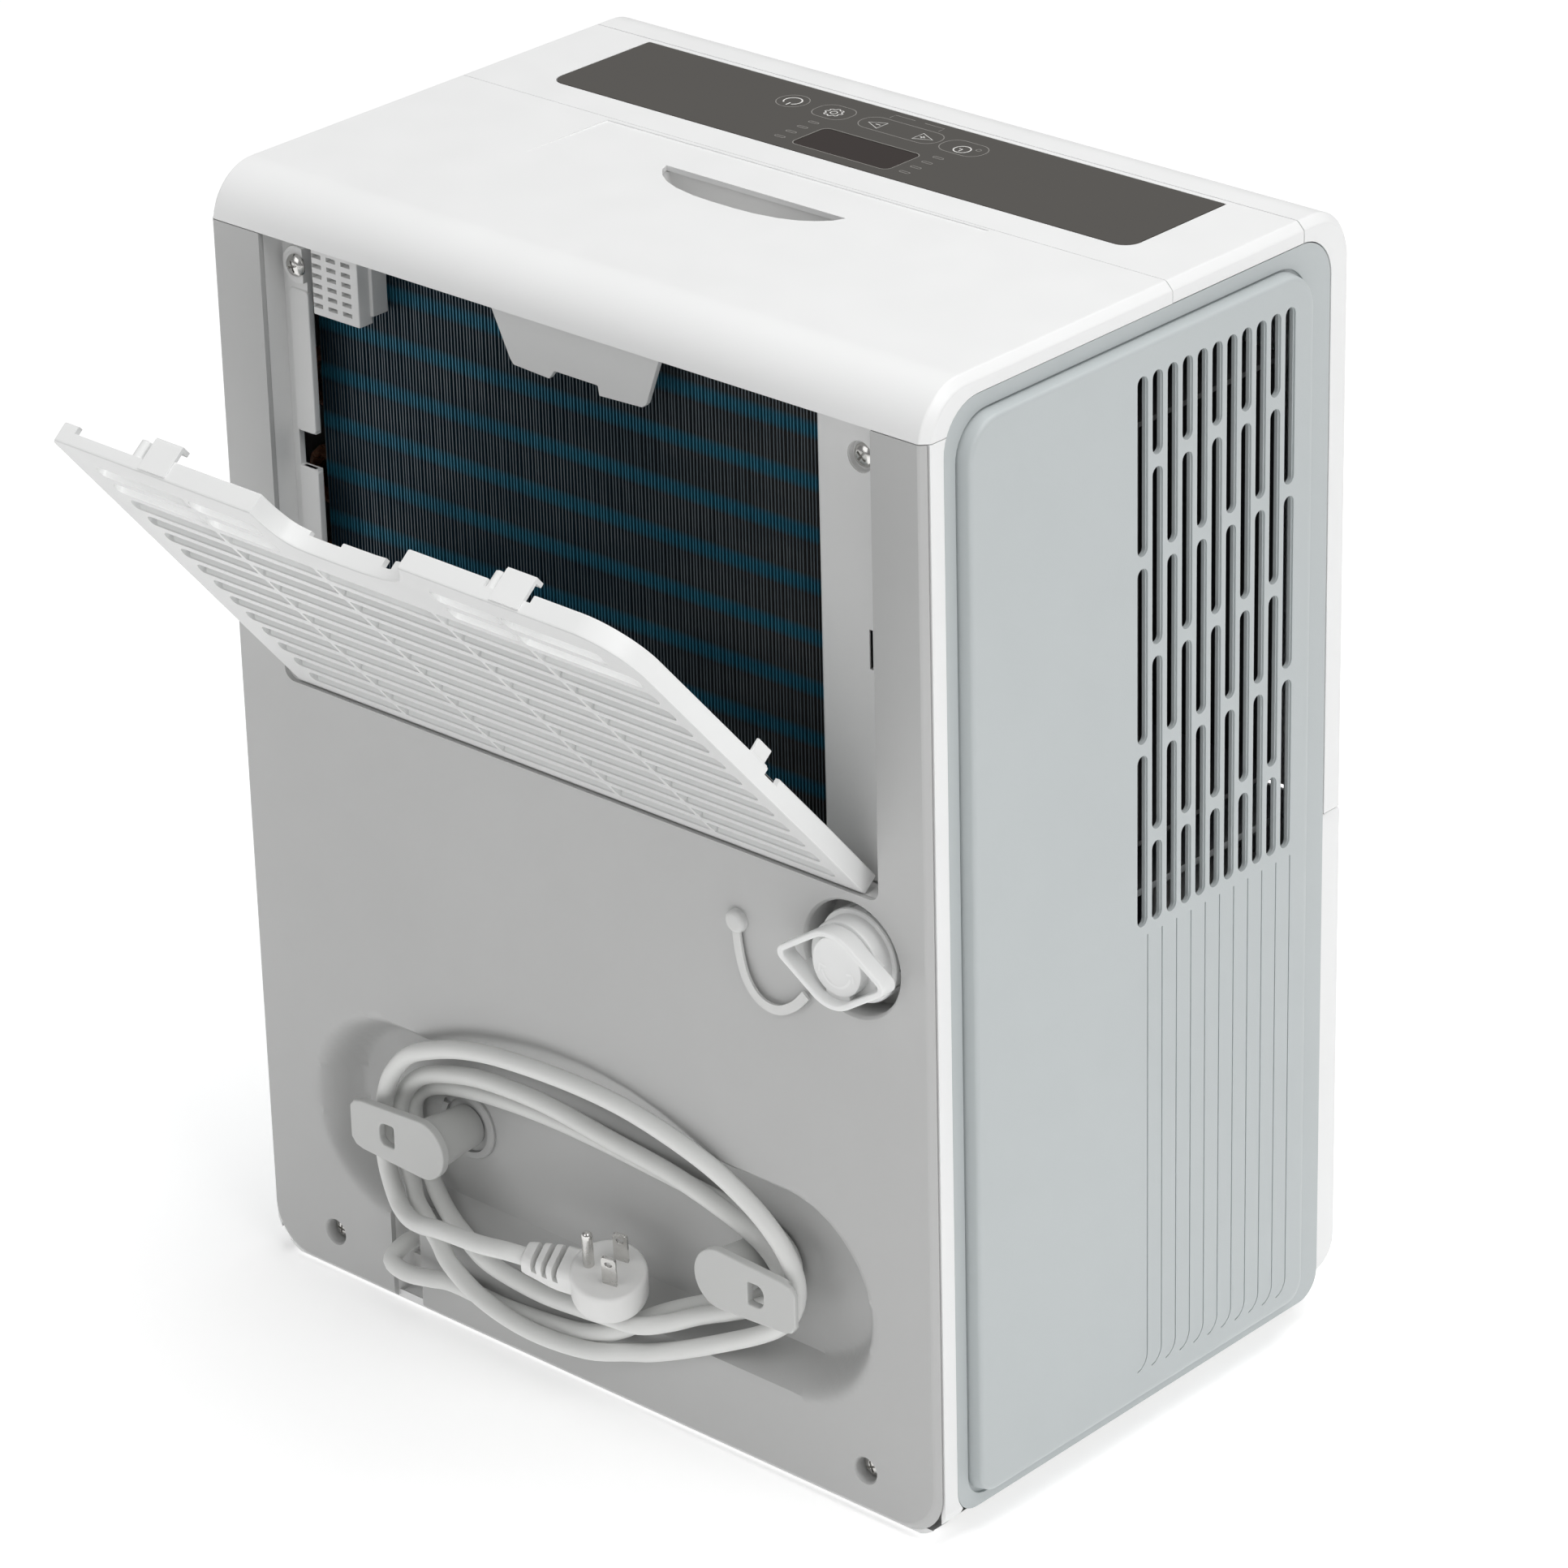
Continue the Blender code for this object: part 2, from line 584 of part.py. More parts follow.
def make_refrigeration(fins, dark_fins, copper, can, plastic, rubber, frame_colour):
    cold = make_coil("evaporator", EVAPORATOR_Y, 9.0, 9.0, COLD_BEND_OUT, fins, copper)
    hot = make_coil("condenser", CONDENSER_Y, 12.0, 9.0, HOT_BEND_OUT, dark_fins, copper)
    low, high = TUBE_LOW_Z, TUBE_LOW_Z + (TUBE_ROWS - 1) * TUBE_PITCH
    hot_end = COIL_X[1] + HOT_BEND_OUT + 4.5
    cold_end = COIL_X[1] + COLD_BEND_OUT + 4.5
    x, y = COMPRESSOR_X, COMPRESSOR_Y
    top = [
        Vector((x, y, 203)),
        Vector((x, y, 218)),
        Vector((178, 58, 226)),
        Vector((178, hot, 246)),
        Vector((178, hot, high)),
        Vector((hot_end, hot, high)),
    ]
    tube("discharge_pipe", rounded_corners(top, 12), 3.0, copper, 1)
    back = [
        Vector((cold_end, cold, low)),
        Vector((176, cold, low)),
        Vector((176, cold, 228)),
        Vector((ACCUMULATOR_X, 80, 222)),
        Vector((ACCUMULATOR_X, 45, 214)),
        Vector((ACCUMULATOR_X, 45, 173)),
    ]
    tube("suction_pipe", rounded_corners(back, 12), 3.4, copper, 1)
    thin = [
        Vector((hot_end, hot, low)),
        Vector((166, hot, low)),
        Vector((166, 76, 300)),
        Vector((170, 76, 420)),
        Vector((174, cold, high)),
        Vector((cold_end, cold, high)),
    ]
    tube("capillary_tube", rounded_corners(thin, 10), 1.4, copper, 1)

    profile = [(17, 51), (20, 51), (20.01, 30), (26, 44), (34, 48), (186, 48), (196, 42), (201, 24), (202.5, 4)]
    cylinder("compressor", "Z", x, y, profile, can)
    for index in range(3):
        angle = math.radians(90 + 120 * index)
        fx, fy = x + 44 * math.cos(angle), y + 44 * math.sin(angle)
        cylinder(
            f"compressor_grommet_{index + 1}",
            "Z",
            fx,
            fy,
            [(6.3, 8), (9, 8), (10, 6.5), (14, 6.5), (15, 8), (16.7, 8)],
            rubber,
            steps=16,
        )
    can_profile = [(62, 5), (66, 14), (72, 17), (158, 17), (165, 14), (171, 5), (172.6, 3.4)]
    cylinder("accumulator", "Z", ACCUMULATOR_X, 45, can_profile, can, steps=24)

    frame = boxes("coil_frame", [((-175, 112.5, 280), (175, 115.3, 472.5))], frame_colour)
    for x, z, seat in FRAME_SCREWS:
        join(frame, cylinder(f"frame_boss_{x}", "Y", x, z, [(106, 8), (seat - 0.3, 8)]))
    cut(
        frame,
        boxes("frame_window", [((-126, 100, 287), (145, 125, 480))]),
        boxes("frame_notch", [((140, 100, 371.5), (157, 125, 387))]),
        boxes("clip_slot", [((-152.2, 100, 361), (-150.4, 130, 386))]),
    )
    for x, z, seat in FRAME_SCREWS:
        spans = [(100, 2.3), (seat - 0.1, 2.3), (seat - 0.099, 6.2), (130, 6.2)]
        cut(frame, cylinder(f"frame_hole_{x}", "Y", x, z, spans, steps=20))

    tray = boxes("drip_tray", [((-165, 52, 249), (153, 109.5, 263))], plastic)
    join(tray, boxes("tray_sump", [((-165, 80, 241.8), (-133, 109.5, 255))]))
    cut(
        tray,
        boxes("tray_hollow", [((-162.5, 54.5, 251.5), (150.5, 107, 270))]),
        boxes("sump_hollow", [((-162.5, 82.5, 244.2), (-135.5, 107, 260))]),
        cylinder("sump_outlet", "Y", DRAIN_X, DRAIN_Z, [(100, 6.4), (120, 6.4)], steps=24),
        boxes("channel_outlet", [((121, 40, 251.5), (135, 60, 257))]),
    )
    channel = boxes("drain_channel", [((118, -58, 242), (138, 51.7, 249.5))], plastic)
    cut(
        channel,
        boxes("channel_hollow", [((120, -56, 244), (136, 60, 260))]),
        boxes("channel_drop", [((122, -54, 230), (134, -42, 250))]),
    )
    spout = cylinder("drain_spout", "Y", DRAIN_X, DRAIN_Z, [(109.8, 11), (112, 11), (112.001, 9), (121, 9)], plastic)
    cut(spout, cylinder("spout_bore", "Y", DRAIN_X, DRAIN_Z, [(100, 6.4), (130, 6.4)], steps=24))


def make_sensor_housing(colour):
    housing = boxes("sensor_housing", [((113.3, 112.5, 442.8), (139.3, 120, 471.5))], colour)
    join(housing, boxes("sensor_back", [((113, 105, 446), (132, 113.5, 471.5))]))
    slots = []
    for column in range(3):
        for row in range(6):
            x = 117.3 + column * 8.2
            z = 446 + row * 4.2
            slots.append(((x, 117, z), (x + 5.2, 125, z + 1.9)))
    cut(housing, boxes("sensor_slots", slots))


def make_catch_tab(colour):
    outline = [(46.3, 474.1), (34.2, 448.8), (32.4, 446.7), (13.3, 445.7), (10.2, 449.6)]
    outline += [(-12.7, 449.5), (-13.4, 445.4), (-36, 446.4), (-38.4, 448.3), (-48, 474.1)]
    prism("catch_tab", "Y", [(113.2, outline), (115.9, outline)], colour)


# ---- fan ----
def make_fan(scroll_colour, wheel_colour, motor_colour, steel):
    low, high = SCROLL_Y
    wide = circle(FAN_X, FAN_Z, SCROLL_R, 48)
    scroll = prism("fan_scroll", "Y", [(low, wide), (high, wide)], scroll_colour)
    join(scroll, boxes("scroll_duct", [((-186.4, low, 262), (FAN_X, high, FAN_Z + SCROLL_R - 0.01))]))
    inner = circle(FAN_X, FAN_Z, SCROLL_R - 2, 48)
    cut(
        scroll,
        prism("scroll_hollow", "Y", [(low + 2, inner), (high - 2, inner)]),
        boxes("duct_hollow", [((-200, low + 2, 264), (FAN_X, high - 2, FAN_Z + SCROLL_R - 2.2))]),
        cylinder("inlet_hole", "Y", FAN_X, FAN_Z, [(high - 10, 62), (high + 10, 62)], steps=48),
        cylinder("shaft_hole", "Y", FAN_X, FAN_Z, [(low - 10, 8), (low + 10, 8)], steps=24),
    )
    bm = bmesh.new()
    blades = 16
    for index in range(blades):
        turn = Matrix.Rotation(2 * math.pi * index / blades, 4, "Y")
        lean = Matrix.Rotation(math.radians(28), 4, "Y")
        start = len(bm.verts)
        add_box(bm, (-6, -80, -0.8), (5, -10, 0.8))
        bm.verts.ensure_lookup_table()
        place = Matrix.Translation((FAN_X, 0, FAN_Z)) @ turn @ Matrix.Translation((WHEEL_R - 7, 0, 0)) @ lean
        bmesh.ops.transform(bm, matrix=place, verts=bm.verts[start:])
    wheel = finish("fan_wheel", bm, wheel_colour)
    bore = circle(FAN_X, FAN_Z, 60)
    for ring_name, ys in (("ring_front", (-82, -77)), ("ring_back", (-13, -8))):
        rim = circle(FAN_X, FAN_Z, WHEEL_R)
        ring = prism(ring_name, "Y", [(ys[0], rim), (ys[1], rim)])
        hole = prism(ring_name + "_hole", "Y", [(ys[0] - 5, bore), (ys[1] + 5, bore)])
        cut(ring, hole)
        join(wheel, ring)
    spans = [(-58, 67), (-55, 67), (-55.001, 12), (-40, 12)]
    join(wheel, cylinder("wheel_disc", "Y", FAN_X, FAN_Z, spans))
    cut(wheel, cylinder("wheel_bore", "Y", FAN_X, FAN_Z, [(-70, 4.3), (-30, 4.3)], steps=24))
    cylinder("fan_shaft", "Y", FAN_X, FAN_Z, [(-110, 4), (-35, 4)], steel, steps=24)
    motor = cylinder(
        "fan_motor",
        "Y",
        FAN_X,
        FAN_Z,
        [(-117, 30), (-115, 38), (-95, 38), (-93, 30), (-92.9, 12), (-90.5, 12)],
        motor_colour,
    )
    cut(motor, cylinder("motor_bore", "Y", FAN_X, FAN_Z, [(-112, 4.3), (-80, 4.3)], steps=24))


# ---- rear grille and filter, drawn closed and then swung open about the hinge ----
def swing_open(*objects):
    hinge = Vector((0, HINGE_Y, HINGE_Z)) * 0.001
    turn = Matrix.Rotation(-math.radians(GRILLE_OPEN_DEG), 4, "X")
    for obj in objects:
        obj.data.transform(turn @ Matrix.Translation(-hinge))
        obj.location = hinge


def make_grille(colour, mesh_colour):
    low, high = GRILLE_Z
    def frame_line(inset, scoop):
        """The grille's edge, with the rounded corner at low x, moved inwards by the inset."""
        side, top, bottom = GRILLE_HALF - inset, high - inset, low + inset
        corner = 17.0 - inset
        line = [(side, bottom), (side, top - 3), (side - 3, top), *scoop]
        for step in range(7):
            angle = math.radians(90 + 15 * step)
            x = -side + corner + corner * math.cos(angle)
            line.append((x, top - corner + corner * math.sin(angle)))
        return line + [(-side, bottom)]

    outline = frame_line(0, SCOOP)
    inner = frame_line(WALL, SCOOP_WALL)
    grille = prism("rear_grille", "Y", [(GRILLE_Y[0], outline), (GRILLE_Y[1], outline)], colour)
    hollow = prism("grille_hollow", "Y", [(100, inner), (GRILLE_Y[1] - 3.5, inner)])
    edges = [-138.0]
    for x in RIB_XS:
        edges += [x - 2, x + 2]
    edges.append(141.0)
    spans = []
    for row in range(VENT_ROWS):
        z = low + 8.0 + row * VENT_PITCH
        for left, right in zip(edges[::2], edges[1::2]):
            if z + VENT_HEIGHT > 444 and right < 0:
                right = min(right, -45.0)
            if z + VENT_HEIGHT > 444 and left > 0:
                left = max(left, 49.0)
            if z + VENT_HEIGHT > 457:
                left = max(left, -132.0)
            across_scoop = z + VENT_HEIGHT > 444 and right > -40 and left < 44
            if right - left > 6 and not across_scoop:
                spans.append(((left, 110, z), (right, 140, z + VENT_HEIGHT)))
    vents = boxes("grille_vents", spans)
    clear = [
        ((91, 100, 462), (143.5, 122.4, 480)),
        ((143.5, 100, 450), (160, 120.9, 471)),
    ]
    notches = boxes("grille_notches", clear)
    frame_low, frame_high = low + 6, 438.0
    filter_frame = boxes("air_filter", [((-147, 119.2, frame_low), (147, 122.2, frame_high))], mesh_colour)
    swing_open(grille, hollow, vents, notches, filter_frame)
    cut(grille, hollow, vents, notches)


# ---- drain cap and tether ----
def make_drain_cap(cap_colour, clear):
    spans = [(115.5, 18), (116, 19), (124, 19), (124.5, 17.5), (132, 17.5), (132.5, 16.5)]
    cap = cylinder("drain_cap", "Y", DRAIN_X, DRAIN_Z, spans, cap_colour, steps=40)
    grip_out = stadium(DRAIN_X - 12, DRAIN_X + 12, DRAIN_Z, 15.5)
    grip_in = stadium(DRAIN_X - 12, DRAIN_X + 12, DRAIN_Z, 12.8)
    join(cap, prism("cap_grip", "Y", [(128.6, grip_out), (141, grip_out)]))
    cut(
        cap,
        prism("cap_grip_hole", "Y", [(134, grip_in), (150, grip_in)]),
        cylinder("cap_bore", "Y", DRAIN_X, DRAIN_Z, [(100, 9.6), (122, 9.6)], steps=32),
    )
    ends = []
    for side in (-1, 1):
        x = DRAIN_X + side * 21.8
        ends.append(((x - 2.2, 120, DRAIN_Z - 5), (x + 2.2, 150, DRAIN_Z + 5)))
    cut(cap, boxes("cap_fingers", ends))

    path = [(-127, 129.7, 230), (-119, 130.2, 222), (-108, 130.2, 219), (-98, 130.2, 226), (-92, 130.2, 238)]
    strap = tube("cap_tether", through([*path, (-90, 130.2, 249)], 3), 1.5, clear, 1)
    return strap


# ---- screws ----
def make_screws(chrome):
    for index, (x, z, seat) in enumerate((*FRAME_SCREWS, (150.5, 22, 121.8), (-150.5, 22, 121.8))):
        spans = [(seat - 9, 1.9), (seat, 1.9), (seat + 0.001, 4.9), (seat + 1.6, 4.6), (seat + 2.6, 3)]
        screw = cylinder(f"cover_screw_{index + 1}", "Y", x, z, spans, chrome, steps=20)
        cross = [
            ((x - 2.2, seat + 1.2, z - 0.5), (x + 2.2, seat + 5, z + 0.5)),
            ((x - 0.5, seat + 1.2, z - 2.2), (x + 0.5, seat + 5, z + 2.2)),
        ]
        cut(screw, boxes(f"screw_cross_{index}_a", cross[:1]), boxes(f"screw_cross_{index}_b", cross[1:]))


# ---- cord hooks, cord and plug ----
def make_cord_hooks(colour):
    for name, side in (("cord_hook_left", 1), ("cord_hook_right", -1)):
        x = side * HOOK_X
        spans = [(101, 8.5), (104, 8.5), (104.001, 6), (110.6, 6), (110.601, 9.5), (136, 11.5)]
        hook = cylinder(name, "Y", x, HOOK_Z, spans, colour)
        outline = []
        for i in range(13):
            angle = math.radians(90 + 180 * i / 12)
            outline.append((x + side * -13.5 * -math.cos(angle), HOOK_Z + 13.5 * math.sin(angle)))
        outline += [(x + side * 36, HOOK_Z - 8.6), (x + side * 41, HOOK_Z - 5.5)]
        outline += [(x + side * 41, HOOK_Z + 5.5), (x + side * 36, HOOK_Z + 8.6)]
        join(hook, prism(name + "_flange", "Y", [(135.5, outline), (139.5, outline)]))
        hole = (x + side * 17.0, x + side * 25.0)
        cut(hook, boxes(name + "_window", [((min(hole), 130, HOOK_Z - 4.5), (max(hole), 150, HOOK_Z + 4.5))]))


CORD_STOPS = (
    # out of the gland, through the notch and along the foot of the bay
    *((107.5, 91.5, 34), (107.5, 104, 33.5), (108, 118, 32), (108.5, 129, 31), (107.5, 136.5, 27.5)),
    *((98, 137, 25), (86, 135, 26), (74, 133, 27), (43.7, 132.2, 26), (6, 132.2, 29.8), (-12, 132.2, 35.5)),
    # first turn, next to the bay's floor
    *((-24, 132.8, 42), (-32, 131.2, 47.7), (-40, 126.5, 52.5), (-52, 121, 58), (-68, 117, 65), (-86, 115, 72)),
    *((-98, 114.5, 80), (-102, 114.5, 90), (-98, 114.5, 99), (-86, 114.5, 105), (-60, 114.5, 108)),
    *((-20, 114.5, 111), (15, 114.5, 113), (45, 114.5, 113), (75, 114.5, 110.5), (96, 114.7, 106)),
    *((108, 114.8, 99), (112, 115, 90), (110.5, 115, 78), (106, 115.5, 68), (100, 117, 59)),
    # second turn
    *((92, 120, 53.5), (82, 124.5, 51.2), (70, 129.5, 50), (57, 132.8, 46.2), (44.7, 133, 43.2)),
    *((21.7, 133, 41.4), (-3, 135.5, 45), (-20, 138, 48.6), (-36, 137.3, 50.1), (-50, 134, 55)),
    *((-63, 129, 61), (-76, 125, 66), (-90, 122, 72.5), (-99.5, 121.5, 80), (-102, 121.5, 88)),
    *((-100, 121.5, 95), (-91, 121.5, 102.5), (-74, 121.5, 109), (-44, 121.5, 116), (-8, 121.5, 120)),
    *((28, 121.5, 124), (62, 121.5, 123), (85, 121.5, 118), (98.5, 121.5, 112.5), (108, 121.5, 104)),
    *((113.3, 121.3, 94), (114, 121.2, 83), (111.5, 121.6, 71), (106, 123.6, 59.8)),
    # third turn, over the others
    *((101, 126.5, 54), (93, 129.6, 50.4), (82, 133.2, 44.6), (71, 137.5, 39.2), (50, 140.5, 31.8)),
    *((23, 140.3, 26.8), (-6.2, 137.5, 27.4), (-28, 134, 33), (-40.5, 132.4, 36.8), (-60, 132.5, 46)),
    *((-79.8, 129.5, 55.5), (-95, 127.3, 63.5), (-106, 127.3, 71.5), (-113, 128, 80), (-117, 129, 91.5)),
    *((-115, 129.6, 103), (-107, 130, 114.5), (-92, 130.6, 126), (-70, 132.5, 137.5), (-34, 132.7, 145.6)),
    *((0, 132.7, 147.6), (38, 132.7, 145.6), (63, 132.7, 141.4), (83, 132.5, 134.4), (98, 130.4, 125.8)),
    *((108.5, 129.6, 113.6), (113, 129.4, 103), (115.5, 129.2, 92), (116, 129.2, 80), (114, 130, 68)),
    # across the front to the plug
    *((105.5, 133.5, 56.8), (96, 137.6, 54), (85, 141, 55), (70, 146, 60.5), (55, 150.5, 65), (36, 154, 69)),
)


def make_cord(cord_colour, plug_colour, steel, rubber):
    pin_axis = Vector((-0.27, 0.30, 0.915)).normalized()
    out = Vector((0.915, 0.375, 0.147))
    out = (out - out.dot(pin_axis) * pin_axis).normalized()
    across = pin_axis.cross(out)
    frame = Matrix((out, across, pin_axis)).transposed().to_4x4()
    place = Matrix.Translation(Vector((PLUG_X, PLUG_Y, PLUG_Z)) * 0.001) @ frame

    body = cylinder("plug_body", "Z", 0, 0, [(-9, 15), (-7.5, 16), (6.5, 16), (8, 14.8)], plug_colour)
    neck = [(-8.0, -7.0), (8.0, -7.0), (8.0, 6.0), (-8.0, 6.0)]
    tip = [(-5.5, -5.5), (5.5, -5.5), (5.5, 5.0), (-5.5, 5.0)]
    relief = prism("plug_neck", "X", [(8, neck), (22, neck), (PLUG_NECK, tip)])
    slots = [((x, -20, 1.5), (x + 2.4, 20, 9)) for x in (22, 27, 32)]
    relief_slots = boxes("plug_neck_slots", slots)
    pieces = [body, relief, relief_slots]
    for name, y in (("plug_blade_1", -6.35), ("plug_blade_2", 6.35)):
        blade = boxes(name, [((-6.4, y - 0.75, 8.3), (0, y + 0.75, 25.5))], steel)
        hole = cylinder(name + "_hole", "Y", -3.2, 21.5, [(y - 3, 1.6), (y + 3, 1.6)], steps=12)
        cut(blade, hole)
        pieces += [blade, hole]
    pieces.append(cylinder("plug_ground_pin", "Z", 8.7, 0, [(8.3, 2.4), (26, 2.4), (29, 1.3)], steel, steps=20))
    join(body, relief)
    cut(body, relief_slots)
    for piece in pieces:
        piece.matrix_world = place

    plug_end = Vector((PLUG_X, PLUG_Y, PLUG_Z)) + frame.to_3x3() @ Vector((PLUG_NECK + 0.5, 0, -0.3))
    straight = [plug_end + out * reach for reach in (8, 0)]
    tube("power_cord", [*through(CORD_STOPS, 1), *straight], CORD_R, cord_colour, 2)
    spans = [(77, 9), (79.6, 9), (79.601, 6.2), (86.3, 6.2), (86.301, 8), (91.2, 5.5)]
    cylinder("cord_gland", "Y", 107.5, 34, spans, rubber, steps=24)


def main():
    for obj in list(bpy.data.objects):
        bpy.data.objects.remove(obj, do_unlink=True)
    white = material("shell_white", (0.86, 0.87, 0.87), 0.42)
    panel_grey = material("panel_grey", (0.62, 0.65, 0.65), 0.5)
    pan_grey = material("inner_plastic", (0.70, 0.70, 0.69), 0.55)
    overlay = material("overlay_graphite", (0.085, 0.08, 0.072), 0.22)
    glass = material("display_glass", (0.03, 0.027, 0.025), 0.08)
    board = material("board_green", (0.03, 0.16, 0.07), 0.5)
    black = material("black_plastic", (0.02, 0.02, 0.02), 0.5)
    rubber = material("black_rubber", (0.03, 0.03, 0.03), 0.8)
    blue_fin = material("blue_fin", (0.02, 0.09, 0.13), 0.35, 0.6)
    bare_fin = material("bare_fin", (0.6, 0.6, 0.62), 0.35, 0.9)
    copper = material("copper", (0.72, 0.33, 0.18), 0.3, 1.0)
    can = material("black_can", (0.025, 0.025, 0.028), 0.35)
    galvanised = material("galvanised", (0.55, 0.56, 0.57), 0.4, 0.9)
    chrome = material("plated_steel", (0.75, 0.75, 0.76), 0.18, 1.0)
    smoke = material("tank_plastic", (0.55, 0.60, 0.63), 0.25)
    net = material("filter_net", (0.35, 0.37, 0.38), 0.8)
    foam = material("float_foam", (0.85, 0.84, 0.80), 0.8)
    clear = material("clear_strap", (0.75, 0.76, 0.76), 0.25)
    cord_white = material("cord_white", (0.78, 0.78, 0.76), 0.5)

    make_rear_cover(white)
    make_rear_top_cover(white)
    make_grip_cup(pan_grey)
    make_control_top(white)
    make_controls(overlay, glass, board, black)
    make_front_cover(white)
    make_side_panel("side_panel_louvred", -1, panel_grey, True)
    make_side_panel("side_panel_plain", 1, panel_grey, False)
    make_base(pan_grey, rubber)
    make_chassis(galvanised)
    make_tank(smoke, white, pan_grey, foam, black)
    make_refrigeration(blue_fin, bare_fin, copper, can, pan_grey, rubber, white)
    make_sensor_housing(white)
    make_catch_tab(white)
    make_fan(black, black, galvanised, chrome)
    make_grille(white, net)
    make_drain_cap(white, clear)
    make_screws(chrome)
    make_cord_hooks(white)
    make_cord(cord_white, cord_white, chrome, rubber)


main()
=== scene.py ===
"""Looks of the portable dehumidifier: mesh-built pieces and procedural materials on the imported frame.

Helper functions take millimetres in the row frame and write metres into the meshes.
"""

import math

import bmesh
import bpy
from mathutils import Matrix, Vector
from mathutils.geometry import convex_hull_2d


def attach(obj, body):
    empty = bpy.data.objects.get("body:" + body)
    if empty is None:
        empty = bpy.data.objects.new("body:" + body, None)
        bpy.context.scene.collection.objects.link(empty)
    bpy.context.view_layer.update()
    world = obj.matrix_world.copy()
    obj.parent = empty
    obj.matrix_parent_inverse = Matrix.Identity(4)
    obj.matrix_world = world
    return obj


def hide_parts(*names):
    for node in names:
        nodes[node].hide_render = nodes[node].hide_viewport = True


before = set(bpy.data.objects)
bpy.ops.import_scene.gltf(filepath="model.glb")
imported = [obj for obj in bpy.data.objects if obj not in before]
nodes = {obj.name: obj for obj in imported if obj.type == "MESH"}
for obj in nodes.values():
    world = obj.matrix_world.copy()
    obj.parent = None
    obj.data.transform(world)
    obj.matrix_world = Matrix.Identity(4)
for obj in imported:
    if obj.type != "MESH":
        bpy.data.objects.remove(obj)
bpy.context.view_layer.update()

# ---- driving dimensions, mm, the same as the CAD's ----
HALF_W = 190.0
BACK_Y = 128.0
FRONT_Y = -128.0
TOP_Z = 495.0
LOW_Z = 1.5
WALL = 2.5
BACK_ROLL = 24.0
FRONT_ROLL = 22.0
SEAM_BACK_Z = 474.3
SEAM_TOP_Y = -16.0
SEAM_FRONT_Y = -97.0
SEAM_TANK_Z = 233.5

PANEL_Y = (-114.5, 117.5)
PANEL_Z = (10.0, 486.4)
RAISED_Y = (-98.0, 109.7)
RAISED_Z = (17.0, 478.5)
RAISED_FACE = 195.7

WINDOW_X = (-163.2, 160.5)
WINDOW_LOW_Z = 279.5
GRILLE_HALF = 154.3
GRILLE_LOW_Z = 280.2
GRILLE_HIGH_Z = 473.6
GRILLE_Y = (119.0, 127.8)
GRILLE_CORNER = 24.0
GRILLE_TAPER = 3.5  # how far the low-x side leans in by the top
GRILLE_WARP = 3.0  # how far the free corner at low x has sprung outwards
HINGE = (0.0, 126.0, 282.6)
FRAME_SCREWS = ((150.4, 460.2, 117.5), (-147.6, 455.6, 112.9))
GRILLE_OPEN_DEG = 40.0
FOOT_SCREW_X = 150.5
FOOT_SCREW_Z = 22.0
SCOOP = (
    (41.0, 473.6),
    (40.5, 462.0),
    (37.0, 453.5),
    (28.0, 450.5),
    (-24.0, 452.0),
    (-36.5, 471.0),
    (-38.0, 473.6),
)
SCOOP_WALL = (
    (43.6, 471.1),
    (43.0, 461.3),
    (38.8, 451.4),
    (28.5, 448.0),
    (-25.5, 449.4),
    (-38.5, 469.2),
    (-39.5, 471.1),
)
COIL_X = (-128.0, 156.0)
FIN_PITCH = 1.75
FIN_HALF = 0.28  # half a fin's thickness
TUBE_ROWS = 8
TUBE_PITCH = 21.55
TUBE_LOW_Z = 280.6
VENT_ROWS = 14
VENT_PITCH = 12.6
VENT_HEIGHT = 8.4
RIB_XS = (-81.0, -30.0, 34.0, 88.0)

BAY_Z = 90.0
BAY_R = 46.0
BAY_HALF = 109.0
BAY_DEPTH = 18.0
HOOK_X = 84.0
HOOK_Z = 90.0
DRAIN_X = -149.0
DRAIN_Z = 251.0
CORD_R = 3.9
COPPER_PIPES = ("discharge_pipe", "suction_pipe", "capillary_tube")
PLUG_AT = (-23.4, 139.8, 67.3)
PLUG_NECK = 37.0


def add_object(name, data):
    obj = bpy.data.objects.new(name, data)
    bpy.context.scene.collection.objects.link(obj)
    return obj


# ---- camera ----
def make_camera():
    azimuth, elevation, roll = (math.radians(a) for a in (222.599, 25.735, -1.478))
    back = Vector(
        (
            math.sin(azimuth) * math.cos(elevation),
            -math.cos(azimuth) * math.cos(elevation),
            math.sin(elevation),
        )
    )
    level = Vector((0, 0, 1)).cross(back).normalized()
    upright = back.cross(level)
    right = level * math.cos(roll) + upright * math.sin(roll)
    up = -level * math.sin(roll) + upright * math.cos(roll)
    lens = bpy.data.cameras.new("camera")
    lens.lens = 149.92
    lens.sensor_width = 36.0
    lens.clip_end = 60.0
    camera = add_object("camera", lens)
    camera.matrix_world = Matrix((right, up, back)).transposed().to_4x4()
    camera.location = (-1.6388, 1.7841, 1.4000)
    bpy.context.scene.camera = camera


# ---- mesh helpers ----
def finish_mesh(name, bm, material=None):
    bmesh.ops.recalc_face_normals(bm, faces=bm.faces)
    bmesh.ops.scale(bm, vec=(0.001, 0.001, 0.001), verts=bm.verts)
    mesh = bpy.data.meshes.new(name)
    bm.to_mesh(mesh)
    bm.free()
    obj = add_object(name, mesh)
    if material:
        mesh.materials.append(material)
    return obj


